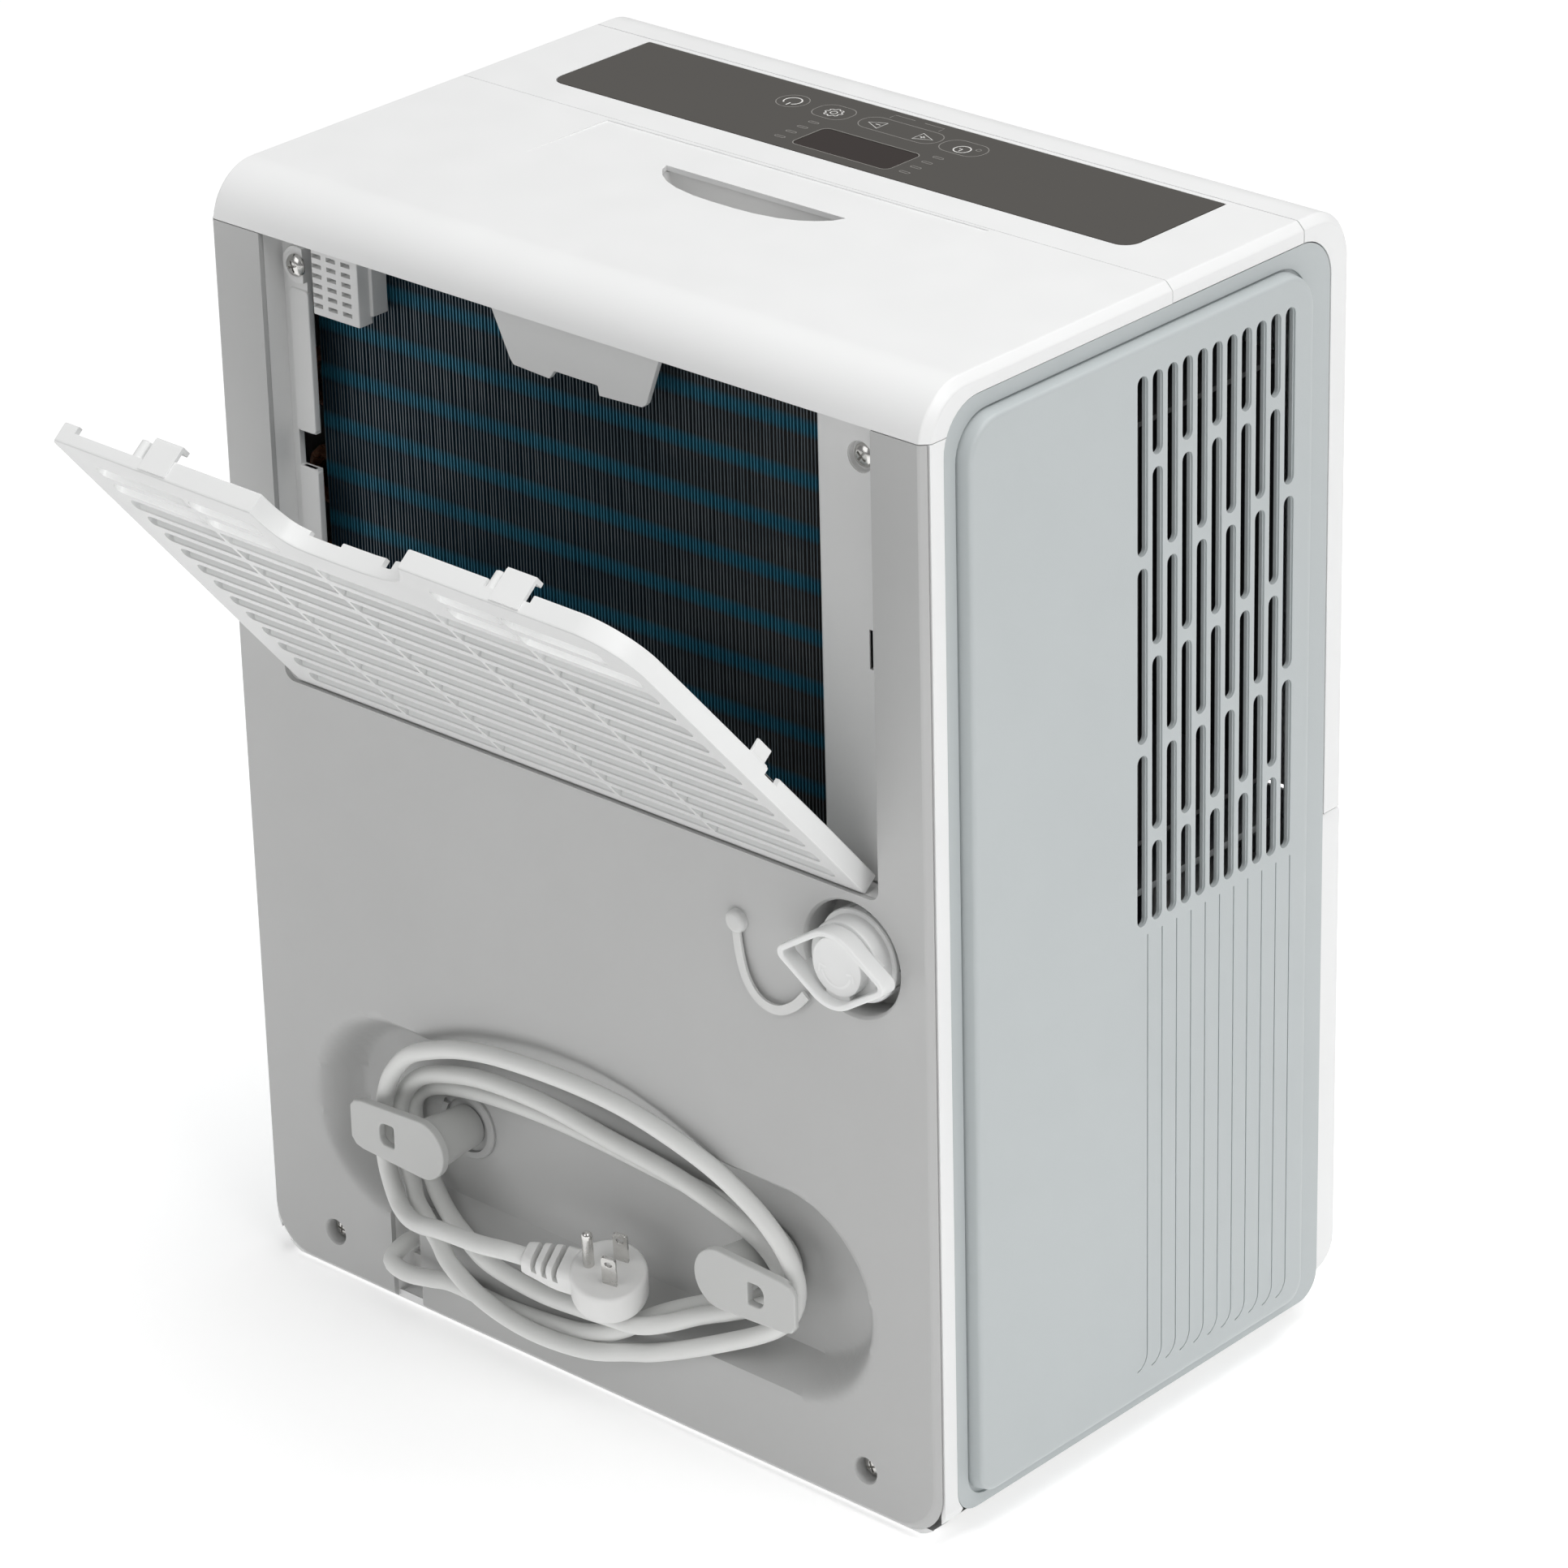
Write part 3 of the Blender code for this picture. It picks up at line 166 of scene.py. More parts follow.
def add_box(bm, low, high):
    corners = [
        bm.verts.new((x, y, z))
        for x in (low[0], high[0])
        for y in (low[1], high[1])
        for z in (low[2], high[2])
    ]
    for face in ((0, 1, 3, 2), (4, 6, 7, 5), (0, 4, 5, 1), (2, 3, 7, 6), (0, 2, 6, 4), (1, 5, 7, 3)):
        bm.faces.new([corners[i] for i in face])


def boxes(name, spans, material=None):
    bm = bmesh.new()
    for low, high in spans:
        add_box(bm, low, high)
    return finish_mesh(name, bm, material)


def add_rings(bm, rings, capped=True):
    rows = [[bm.verts.new(point) for point in ring] for ring in rings]
    for a, b in zip(rows, rows[1:]):
        for i in range(len(a)):
            j = (i + 1) % len(a)
            bm.faces.new((a[i], a[j], b[j], b[i]))
    if capped:
        bm.faces.new(rows[0])
        bm.faces.new(rows[-1])


def at(axis, u, v, w):
    return {"X": (w, u, v), "Y": (u, w, v), "Z": (u, v, w)}[axis]


def prism(name, axis, outlines, material=None):
    bm = bmesh.new()
    add_rings(bm, [[at(axis, u, v, w) for u, v in outline] for w, outline in outlines])
    return finish_mesh(name, bm, material)


def slab(name, axis, outline, low, high, material=None):
    """One outline carried from one position along the axis to another."""
    return prism(name, axis, [(low, outline), (high, outline)], material)


def circle(u, v, r, steps=48):
    angles = [2 * math.pi * i / steps for i in range(steps)]
    return [(u + r * math.cos(a), v + r * math.sin(a)) for a in angles]


def turned(name, axis, u, v, spans, material=None, steps=48):
    """A turned solid from (position along the axis, radius) pairs."""
    return prism(name, axis, [(w, circle(u, v, r, steps)) for w, r in spans], material)


def rounded(us, vs, radii, steps=10):
    """A rectangle with a corner radius each at low-low, high-low, high-high and low-high."""
    (u0, u1), (v0, v1) = us, vs
    a, b, c, d = radii
    corners = (
        (u0 + a, v0 + a, a, 180),
        (u1 - b, v0 + b, b, 270),
        (u1 - c, v1 - c, c, 0),
        (u0 + d, v1 - d, d, 90),
    )
    outline = []
    for u, v, r, start in corners:
        for i in range(steps + 1):
            angle = math.radians(start + 90 * i / steps)
            outline.append((u + r * math.cos(angle), v + r * math.sin(angle)))
    return outline


def stadium(u0, u1, v, r, steps=20):
    left = [math.radians(90 + 180 * i / steps) for i in range(steps + 1)]
    right = [math.radians(-90 + 180 * i / steps) for i in range(steps + 1)]
    outline = [(u0 + r * math.cos(a), v + r * math.sin(a)) for a in left]
    return outline + [(u1 + r * math.cos(a), v + r * math.sin(a)) for a in right]


def soften(points, rounds=2, closed=True):
    """Chaikin corner cutting of a 2-D outline."""
    for _ in range(rounds):
        cut = []
        for i in range(len(points) if closed else len(points) - 1):
            a, b = Vector(points[i]), Vector(points[(i + 1) % len(points)])
            cut += [a * 0.75 + b * 0.25, a * 0.25 + b * 0.75]
        points = cut if closed else [Vector(points[0]), *cut, Vector(points[-1])]
    return [tuple(p) for p in points]


def bake(obj):
    """Replaces the object's mesh with what its modifiers make of it, and drops the helpers they used."""
    helpers = [m.object for m in obj.modifiers if m.type == "BOOLEAN"]
    graph = bpy.context.evaluated_depsgraph_get()
    mesh = bpy.data.meshes.new_from_object(obj.evaluated_get(graph))
    obj.modifiers.clear()
    obj.data = mesh
    for helper in helpers:
        bpy.data.objects.remove(helper, do_unlink=True)
    return obj


def boolean(obj, other, operation):
    step = obj.modifiers.new(other.name, "BOOLEAN")
    step.operation = operation
    step.solver = "EXACT"
    step.object = other
    bake(obj)


def cut(obj, *others):
    for other in others:
        boolean(obj, other, "DIFFERENCE")


def join(obj, *others):
    for other in others:
        boolean(obj, other, "UNION")


def merge(name, objects):
    """Puts several meshes into the first one, keeping their materials."""
    bpy.ops.object.select_all(action="DESELECT")
    for obj in objects:
        obj.select_set(True)
    bpy.context.view_layer.objects.active = objects[0]
    bpy.ops.object.join()
    objects[0].name = name
    return objects[0]


def edge_break(obj, width=0.4, segments=2, angle=35.0):
    """Clean flat faces, then round every sharp edge by the width in mm."""
    bm = bmesh.new()
    bm.from_mesh(obj.data)
    bmesh.ops.remove_doubles(bm, verts=bm.verts, dist=2e-6)
    bmesh.ops.dissolve_limit(
        bm,
        angle_limit=math.radians(0.6),
        verts=bm.verts,
        edges=bm.edges,
        use_dissolve_boundaries=False,
        delimit={"MATERIAL"},
    )
    bm.to_mesh(obj.data)
    bm.free()
    step = obj.modifiers.new("edge", "BEVEL")
    step.width = width * 0.001
    step.segments = segments
    step.limit_method = "ANGLE"
    step.angle_limit = math.radians(angle)
    step.use_clamp_overlap = True
    step.miter_outer = "MITER_ARC"
    return bake(obj)


def shade(obj, angle=32.0):
    """Smooth shading that keeps sharp edges and flat faces."""
    mesh = obj.data
    mesh.polygons.foreach_set("use_smooth", [True] * len(mesh.polygons))
    mesh.set_sharp_from_angle(angle=math.radians(angle))
    step = obj.modifiers.new("normals", "WEIGHTED_NORMAL")
    step.keep_sharp = True
    step.weight = 80
    return obj


def paint(obj, material):
    obj.data.materials.clear()
    obj.data.materials.append(material)


def refined(node, material, width=0.4, name=None):
    """A bevelled, smoothly shaded stand-in for a CAD node."""
    obj = add_object(name or node + "_skin", nodes[node].data.copy())
    paint(obj, material)
    edge_break(obj, width)
    shade(obj)
    return obj


def place(obj, body, slot_name, *replaced):
    """Fixes a piece to a body and hides the CAD nodes that it stands for; the material slot name is not
    used.
    """
    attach(obj, body)
    if replaced:
        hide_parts(*replaced)
    return obj


def settle(obj, body, slot_name, *replaced, angle=32.0):
    shade(obj, angle)
    return place(obj, body, slot_name, *replaced)


def smooth_run(stops, per_span):
    """Points through the stops (Catmull-Rom)."""
    stops = [Vector(stop) for stop in stops]
    padded = [2 * stops[0] - stops[1], *stops, 2 * stops[-1] - stops[-2]]
    points = []
    for a, b, c, d in zip(padded, padded[1:], padded[2:], padded[3:]):
        for i in range(per_span):
            t = i / per_span
            square, cube = 2 * a - 5 * b + 4 * c - d, 3 * b - a - 3 * c + d
            points.append(0.5 * (2 * b + (c - a) * t + square * t**2 + cube * t**3))
    return points + [stops[-1]]


def heading(path, i):
    return (path[min(i + 1, len(path) - 1)] - path[max(i - 1, 0)]).normalized()


def tube(name, points, radius, material, sides=4):
    curve = bpy.data.curves.new(name, "CURVE")
    curve.dimensions = "3D"
    curve.bevel_depth = radius * 0.001
    curve.bevel_resolution = sides
    curve.use_fill_caps = True
    spline = curve.splines.new("POLY")
    spline.points.add(len(points) - 1)
    for target, point in zip(spline.points, points):
        target.co = (*(Vector(point) * 0.001), 1.0)
    spline.use_smooth = True
    curve.materials.append(material)
    return add_object(name, curve)


# ---- materials ----
class Shader:
    """A Principled material with small helpers for its procedural inputs."""

    def __init__(self, name, roughness=0.5, metallic=0.0, coat=0.0, ior=1.46):
        self.material = bpy.data.materials.new(name)
        self.material.use_nodes = True
        self.tree = self.material.node_tree
        self.main = self.tree.nodes["Principled BSDF"]
        self.main.inputs["Roughness"].default_value = roughness
        self.main.inputs["Metallic"].default_value = metallic
        self.main.inputs["Coat Weight"].default_value = coat
        self.main.inputs["Coat Roughness"].default_value = 0.08
        self.main.inputs["IOR"].default_value = ior
        self.place = self.tree.nodes.new("ShaderNodeTexCoord").outputs["Object"]

    def node(self, kind, **inputs):
        made = self.tree.nodes.new(kind)
        for key, value in inputs.items():
            socket = made.inputs[key.replace("_", " ")]
            if isinstance(value, bpy.types.NodeSocket):
                self.tree.links.new(value, socket)
            else:
                socket.default_value = value
        return made

    def link(self, output, key):
        self.tree.links.new(output, self.main.inputs[key])

    def noise(self, scale, detail=2.0, stretch=(1, 1, 1)):
        mapping = self.node("ShaderNodeMapping", Vector=self.place, Scale=stretch)
        return self.node(
            "ShaderNodeTexNoise", Vector=mapping.outputs["Vector"], Scale=scale, Detail=detail
        ).outputs["Fac"]

    def spread(self, value, low, high, from_low=0.3, from_high=0.7):
        ranged = self.tree.nodes.new("ShaderNodeMapRange")
        self.tree.links.new(value, ranged.inputs["Value"])
        ranged.inputs["From Min"].default_value = from_low
        ranged.inputs["From Max"].default_value = from_high
        ranged.inputs["To Min"].default_value = low
        ranged.inputs["To Max"].default_value = high
        return ranged.outputs["Result"]

    def mix(self, fac, a, b):
        mixed = self.tree.nodes.new("ShaderNodeMix")
        mixed.data_type = "RGBA"
        for socket, value in ((mixed.inputs[0], fac), (mixed.inputs[6], a), (mixed.inputs[7], b)):
            if isinstance(value, bpy.types.NodeSocket):
                self.tree.links.new(value, socket)
            elif isinstance(value, (tuple, list)):
                socket.default_value = (*value, 1.0)
            else:
                socket.default_value = value
        return mixed.outputs[2]

    def base(self, fac, a, b):
        self.link(self.mix(fac, a, b), "Base Color")

    def maths(self, operation, value, number=0.0):
        step = self.tree.nodes.new("ShaderNodeMath")
        step.operation = operation
        self.tree.links.new(value, step.inputs[0])
        step.inputs[1].default_value = number
        return step.outputs[0]

    def bump(self, height, strength, distance):
        bumped = self.node("ShaderNodeBump", Height=height, Strength=strength, Distance=distance)
        self.link(bumped.outputs["Normal"], "Normal")


def moulded(name, colour, roughness, grain=1800.0, strength=0.10, tint=0.97, coat=0.0):
    """Moulded plastic: a fine spark-eroded grain, faint tone drift and slightly uneven gloss."""
    shader = Shader(name, roughness, coat=coat)
    drift = shader.noise(7.0, 3.0)
    darker = tuple(c * tint for c in colour)
    shader.base(shader.spread(drift, 0.0, 1.0), colour, darker)
    shader.link(shader.spread(shader.noise(45.0, 4.0), roughness - 0.05, roughness + 0.06), "Roughness")
    shader.bump(shader.noise(grain, 1.0), strength, 0.0002)
    return shader.material


def metal(name, colour, roughness, stretch=(1, 1, 1), scale=300.0, strength=0.05):
    """Bare metal with fine drawing or plating marks."""
    shader = Shader(name, roughness, 1.0)
    marks = shader.noise(scale, 3.0, stretch)
    darker = tuple(c * 0.82 for c in colour)
    shader.base(shader.spread(marks, 0.0, 1.0), colour, darker)
    shader.link(shader.spread(marks, roughness - 0.05, roughness + 0.1), "Roughness")
    shader.bump(marks, strength, 0.0001)
    return shader.material


def fin_material(name, cut_edge):
    """Blue-coated fins: a teal band at each tube row and dark navy between; the cut edges are paler."""
    shader = Shader(name, 0.38, 0.35)
    split = shader.node("ShaderNodeSeparateXYZ", Vector=shader.place)
    turns = shader.maths("MULTIPLY", split.outputs["Z"], 2 * math.pi / (TUBE_PITCH * 0.001))
    shifted = shader.maths("ADD", turns, -2 * math.pi * (TUBE_LOW_Z / TUBE_PITCH % 1.0))
    band = shader.spread(shader.maths("COSINE", shifted), 0.0, 1.0, 0.30, 0.95)
    patchy = shader.spread(shader.noise(22.0, 3.0, (1, 1, 3)), 0.0, 1.0)
    across = shader.spread(split.outputs["X"], 1.0, 0.0, -0.12, 0.12)
    dark = shader.mix(patchy, (0.034, 0.046, 0.056), (0.034, 0.066, 0.090))
    dark = shader.mix(across, (0.022, 0.062, 0.100), dark)
    dark = shader.mix(shader.spread(across, 0.0, 1.0, 0.45, 1.0), dark, (0.085, 0.086, 0.086))
    teal = shader.mix(patchy, (0.024, 0.150, 0.235), (0.034, 0.190, 0.285))
    if cut_edge:
        dark = shader.mix(patchy, (0.070, 0.095, 0.115), (0.135, 0.152, 0.165))
    shader.base(band, dark, teal)
    shader.bump(shader.noise(900.0, 2.0, (1, 1, 0.2)), 0.15, 0.0002)
    return shader.material


def make_materials():
    made = {
        "white": moulded("white_shell", (0.865, 0.868, 0.866), 0.36, coat=0.05),
        # rear: the white shell plastic made a darker grey, painted shade for the rear faces turned away from
        # the lamps
        "rear": moulded("rear_white_painted_shade", (0.50, 0.502, 0.498), 0.44, strength=0.16),
        "panel": moulded("side_panel_plastic", (0.505, 0.54, 0.546), 0.42, strength=0.14),
        "frame": moulded("frame_plastic", (0.80, 0.80, 0.795), 0.45),
        "grille": moulded("grille_plastic", (0.85, 0.855, 0.85), 0.36),
        # The outward face of the grille and its vanes get darker and lighter copies of the grille white:
        # painted shade on the face bars, painted light on the vanes.
        "grille_face_painted_shade": moulded("grille_face_plastic", (0.66, 0.663, 0.66), 0.42),
        "painted_light_white": moulded("grille_vane", (0.92, 0.925, 0.92), 0.4),
        "fin_edge": fin_material("fin_cut_edge", True),
        "grey": moulded("inner_grey", (0.60, 0.60, 0.59), 0.5),
        "black": moulded("black_plastic", (0.020, 0.020, 0.021), 0.45),
        "rubber": moulded("black_rubber", (0.030, 0.030, 0.030), 0.75, grain=900.0, strength=0.25),
        "cord": moulded("cord_jacket", (0.80, 0.805, 0.79), 0.42, grain=600.0, strength=0.12, tint=0.93),
        "plug": moulded("plug_vinyl", (0.80, 0.80, 0.79), 0.40, grain=900.0, strength=0.15),
        "hook": moulded("hook_plastic", (0.58, 0.585, 0.575), 0.40),
        "tank": moulded("tank_plastic", (0.42, 0.46, 0.49), 0.2, coat=0.3),
        "foam": moulded("float_foam", (0.80, 0.79, 0.75), 0.85, grain=250.0, strength=0.4),
        "overlay": moulded("overlay_graphite", (0.078, 0.073, 0.066), 0.20, grain=2500.0, strength=0.03),
        "board": moulded("board_laminate", (0.03, 0.16, 0.07), 0.45),
        "ink": moulded("icon_ink", (0.78, 0.77, 0.75), 0.5),
        "faint_ink": moulded("faint_ink", (0.27, 0.26, 0.245), 0.5),
        "fins": fin_material("fin_coating", False),
        "chrome": metal("plated_steel", (0.74, 0.73, 0.71), 0.20, scale=120.0),
        "copper": metal("copper", (0.70, 0.30, 0.16), 0.30, (1, 1, 8), 60.0),
        "bare": metal("bare_aluminium", (0.62, 0.63, 0.65), 0.34, (1, 8, 1)),
        "zinc": metal("galvanised_sheet", (0.55, 0.57, 0.58), 0.42, (3, 1, 1), 90.0, 0.1),
        "can": moulded("black_enamel", (0.022, 0.022, 0.024), 0.28, grain=400.0, strength=0.15, coat=0.3),
    }
    glass = Shader("display_glass", 0.16, coat=0.2)
    glass.base(glass.noise(6.0), (0.016, 0.009, 0.007), (0.022, 0.013, 0.010))
    made["glass"] = glass.material
    strap = Shader("clear_strap", 0.18)
    strap.main.inputs["Transmission Weight"].default_value = 0.25
    strap.base(strap.noise(30.0), (0.87, 0.87, 0.86), (0.82, 0.83, 0.82))
    made["clear"] = strap.material
    net = Shader("filter_net", 0.7)
    weave = net.node("ShaderNodeTexChecker", Vector=net.place, Scale=1400.0)
    net.base(weave.outputs["Fac"], (0.52, 0.54, 0.54), (0.36, 0.38, 0.38))
    net.bump(weave.outputs["Fac"], 0.3, 0.0003)
    made["net"] = net.material
    floor = Shader("pale_floor", 0.75)
    floor.base(floor.noise(3.0), (0.93, 0.93, 0.93), (0.90, 0.90, 0.90))
    floor.main.inputs["Emission Color"].default_value = (1.0, 1.0, 1.0, 1.0)
    floor.main.inputs["Emission Strength"].default_value = 0.42
    made["floor"] = floor.material
    return made


# ---- cord and plug ----
CORD_STOPS = (
    # out of the gland, through the notch and along the foot of the bay
    *((107.5, 91.5, 34), (107.5, 104, 33.5), (108, 118, 32), (108.5, 129, 31), (107.5, 136.5, 27.5)),
    *((98, 137, 25), (86, 135, 26), (74, 133, 27), (43.7, 132.2, 26), (6, 132.2, 29.8), (-12, 132.2, 35.5)),
    # first turn, next to the bay's floor
    *((-24, 132.8, 42), (-32, 131.2, 47.7), (-40, 126.5, 52.5), (-52, 121, 58), (-68, 117, 65)),
    (-86, 115, 72),
    *((-98, 114.5, 80), (-102, 114.5, 90), (-98, 114.5, 99), (-86, 114.5, 105), (-60, 114.5, 108)),
    *((-20, 114.5, 111), (15, 114.5, 113), (45, 114.5, 113), (75, 114.5, 110.5), (96, 114.7, 106)),
    *((108, 114.8, 99), (112, 115, 90), (110.5, 115, 78), (106, 115.5, 68), (100, 117, 59)),
    # second turn
    *((92, 120, 53.5), (82, 124.5, 51.2), (70, 129.5, 50), (57, 132.8, 46.2), (44.7, 133, 43.2)),
    *((21.7, 133, 41.4), (-3, 135.5, 45), (-20, 138, 48.6), (-36, 137.3, 50.1), (-50, 134, 55)),
    *((-63, 129, 61), (-76, 125, 66), (-90, 122, 72.5), (-99.5, 121.5, 80), (-102, 121.5, 88)),
    *((-100, 121.5, 95), (-91, 121.5, 102.5), (-74, 121.5, 109), (-44, 121.5, 116), (-8, 121.5, 120)),
    *((28, 121.5, 124), (62, 121.5, 123), (85, 121.5, 118), (98.5, 121.5, 112.5), (108, 121.5, 104)),
    *((113.3, 121.3, 94), (114, 121.2, 83), (111.5, 121.6, 71), (106, 123.6, 59.8)),
    # third turn, over the others
    *((101, 126.5, 54), (93, 129.6, 50.4), (82, 133.2, 44.6), (71, 137.5, 39.2), (50, 140.5, 31.8)),
    *((23, 140.3, 26.8), (-6.2, 137.5, 27.4), (-28, 134, 33), (-40.5, 132.4, 36.8), (-60, 132.5, 46)),
    *((-79.8, 129.5, 55.5), (-95, 127.3, 63.5), (-106, 127.3, 71.5), (-113, 128, 80), (-117, 129, 91.5)),
    *((-115, 129.6, 103), (-107, 130, 114.5), (-92, 130.6, 126), (-70, 132.5, 137.5), (-34, 132.7, 145.6)),
    *((0, 132.7, 147.6), (38, 132.7, 145.6), (63, 132.7, 141.4), (83, 132.5, 134.4), (98, 130.4, 125.8)),
    *((108.5, 129.6, 113.6), (113, 129.4, 103), (115.5, 129.2, 92), (116, 129.2, 80), (114, 130, 68)),
    # across the front to the plug
    *((105.5, 133.5, 56.8), (96, 137.6, 54), (85, 141, 55), (70, 146, 60.5), (55, 150.5, 65)),
    (36, 154, 69),
)


def plug_frame():
    pin_axis = Vector((-0.27, 0.30, 0.915)).normalized()
    out = Vector((0.915, 0.375, 0.147))
    out = (out - out.dot(pin_axis) * pin_axis).normalized()
    across = pin_axis.cross(out)
    turn = Matrix((out, across, pin_axis)).transposed()
    return turn, out


def cord_points():
    turn, out = plug_frame()
    end = Vector(PLUG_AT) + turn @ Vector((PLUG_NECK + 0.5, 0, -0.3))
    return smooth_run([*CORD_STOPS, tuple(end + out * 8), tuple(end)], 5)


def make_plug(mat):
    turn, _ = plug_frame()
    where = Matrix.Translation(Vector(PLUG_AT) * 0.001) @ turn.to_4x4()
    disc = [(-9, 13.6), (-8.6, 14.8), (-7.6, 15.6), (-6, 16), (6, 16), (7.2, 15.6), (7.8, 15), (8, 14.2)]
    body = turned("plug", "Z", 0, 0, disc, mat["plug"], 64)
    sections = []
    for x, half_w, low, high, r in (
        (4, 8.4, -7.6, 6.6, 3),
        (20, 8.2, -7.2, 6.4, 3),
        (24, 7.8, -6.9, 6.2, 3),
        (PLUG_NECK - 2, 5.9, -5.9, 5.4, 3.2),
        (PLUG_NECK - 0.4, 5.5, -5.5, 5.0, 3.2),
        (PLUG_NECK, 4.8, -4.8, 4.3, 3.2),
    ):
        outline = rounded((-half_w, half_w), (low, high), (r,) * 4, 5)
        sections.append((x, outline))
    neck = prism("plug_neck", "X", sections, mat["plug"])
    join(body, neck)
    bm = bmesh.new()
    leaning = ((-1.2, 0), (1.2, 0), (2.4, 9), (0, 9))
    for x in (20.5, 25.5, 30.5):
        add_rings(bm, [[(x + lean, y, z) for lean, z in leaning] for y in (-20, 20)])
    cut(body, finish_mesh("plug_slots", bm))
    edge_break(body, 0.35, 2, 40)
    shade(body, 35)
    body.matrix_world = where
    pieces = [body]
    for name, y in (("plug_blade_a", -6.35), ("plug_blade_b", 6.35)):
        outline = rounded((-6.4, 0.0), (7.0, 25.5), (0.3, 0.3, 1.6, 1.6), 5)
        blade = slab(name, "Y", outline, y - 0.75, y + 0.75, mat["chrome"])
        cut(blade, turned(name + "_hole", "Y", -3.2, 21.5, [(y - 3, 1.6), (y + 3, 1.6)], None, 24))
        edge_break(blade, 0.25, 2)
        shade(blade)
        blade.matrix_world = where
        pieces.append(blade)
    tip = [(7, 2.4), (26.2, 2.4), (27.4, 2.2), (28.3, 1.7), (28.9, 0.9), (29.0, 0.3)]
    pin = turned("plug_pin", "Z", 8.7, 0, tip, mat["chrome"], 28)
    shade(pin, 50)
    pin.matrix_world = where
    pieces.append(pin)
    bpy.context.view_layer.update()
    for piece in pieces:
        piece.data.transform(piece.matrix_world)
        piece.matrix_world = Matrix.Identity(4)
    place(pieces[0], "body", "cord_white", "plug_body")
    place(pieces[1], "body", "plated_steel", "plug_blade_1")
    place(pieces[2], "body", "plated_steel", "plug_blade_2")
    place(pieces[3], "body", "plated_steel", "plug_ground_pin")
    return pieces


def make_cord(mat):
    points = cord_points()
    cord = tube("mains_cord", points, CORD_R, mat["cord"], 5)
    place(cord, "body", "cord_white", "power_cord")
    boot = [(77, 9), (79.2, 9), (79.6, 8.6), (79.7, 6.2), (86.3, 6.2), (86.4, 8.4), (88, 8.4)]
    boot += [(106, 5.0), (107, 4.2)]
    relief = turned("cord_boot", "Y", 107.5, 34, boot, mat["rubber"], 32)
    settle(relief, "body", "black_rubber", "cord_gland", angle=40)
    pieces = make_plug(mat)


# ---- the wrap-around shell ----
def wrap_outline(inset, steps=16):
    ys = (FRONT_Y + inset, BACK_Y - inset)
    zs = (LOW_Z + inset, TOP_Z - inset)
    radii = (3.5, 3.5, BACK_ROLL - inset, FRONT_ROLL - inset)
    return rounded(ys, zs, radii, steps)


def panel_outline(inset):
    ys = (PANEL_Y[0] + inset, PANEL_Y[1] - inset)
    zs = (PANEL_Z[0] + inset, PANEL_Z[1] - inset)
    return rounded(ys, zs, (12 - inset, 12 - inset, 20 - inset, 18 - inset))


def wrap_shell(name, material):
    """The hollow shell with softened chamfers and both side openings."""
    flank = ((0.0, 3.9), (0.3, 3.35), (0.75, 2.75), (2.7, 0.75), (3.2, 0.3), (3.9, 0.0))
    sections = [(-HALF_W + x, wrap_outline(inset)) for x, inset in flank]
    sections += [(-x, outline) for x, outline in reversed(sections)]
    shell = prism(name, "X", sections, material)
    thin = HALF_W - WALL
    hollow = slab(name + "_hollow", "X", wrap_outline(WALL), -thin, thin)
    mouth = [(-HALF_W - 5, panel_outline(0)), (HALF_W + 5, panel_outline(0))]
    feet = rounded((-HALF_W - 1, HALF_W + 1), (LOW_Z - 1, TOP_Z + 9), (21, 21, 0.5, 0.5), 14)
    cut(shell, hollow, prism(name + "_sides", "X", mouth))
    boolean(shell, slab(name + "_corners", "Y", feet, -140, 140), "INTERSECT")
    return shell


def keep(shell, low, high):
    boolean(shell, boxes(shell.name + "_region", [(low, high)]), "INTERSECT")


def make_top(mat):
    cover = wrap_shell("rear_top_skin", mat["white"])
    keep(cover, (-200, SEAM_TOP_Y + 0.2, SEAM_BACK_Z + 0.2), (200, 140, 510))
    join(cover, boxes("window_lip", [((-158, 110, 474.6), (158, 126.4, 477))]))
    slope = [(-14.5, 494.5), (-14.5, 500), (34, 500), (34, 494.99)]
    far_slope = [(u + (0.8 if u < 0 else 0), v) for u, v in slope]
    ramp = prism("hand_ramp", "X", [(-100, slope), (102, far_slope)])
    mouth = [(-47.6, 9.8), (47.6, 9.8), (45.5, 14.5), (41, 19.2), (35, 23.2), (27, 26.3), (16, 28.4)]
    mouth += [(6, 29)]
    mouth += [(-x, y) for x, y in reversed(mouth[2:])]
    cut(cover, ramp, slab("grip_mouth", "Z", mouth, 480, 510))
    edge_break(cover, 0.3, 2, 40)
    settle(cover, "body", "shell_white", "rear_top_cover")

    outer = rounded((-52, 52), (5, 33), (3, 3, 12, 12))
    cup = slab("grip_cup_skin", "Z", outer, 458, 492.1, mat["frame"])
    low = rounded((-44, 44), (9.5, 24), (2, 2, 8, 8))
    high = rounded((-49, 49), (9.0, 30.5), (2, 2, 12, 12))
    cut(cup, prism("grip_cup_hole", "Z", [(464, low), (500, high)]))
    settle(cup, "body", "inner_plastic", "grip_cup")


def icon_ribbon(name, points, width, z, material, closed=False):
    """A flat printed line along 2-D points."""
    bm = bmesh.new()
    points = [Vector(p) for p in points]
    count = len(points)
    left, right = [], []
    for i, p in enumerate(points):
        before = points[i - 1] if i or closed else p
        after = points[(i + 1) % count] if i < count - 1 or closed else p
        along = (after - before).normalized()
        side = Vector((-along.y, along.x)) * width / 2
        left.append(bm.verts.new((p.x + side.x, p.y + side.y, z)))
        right.append(bm.verts.new((p.x - side.x, p.y - side.y, z)))
    for i in range(count if closed else count - 1):
        j = (i + 1) % count
        bm.faces.new((left[i], right[i], right[j], left[j]))
    return finish_mesh(name, bm, material)


def ring(u, v, r, start=0, end=360, steps=28):
    angles = [math.radians(start + (end - start) * i / steps) for i in range(steps + 1)]
    return [(u + r * math.cos(a), v + r * math.sin(a)) for a in angles]


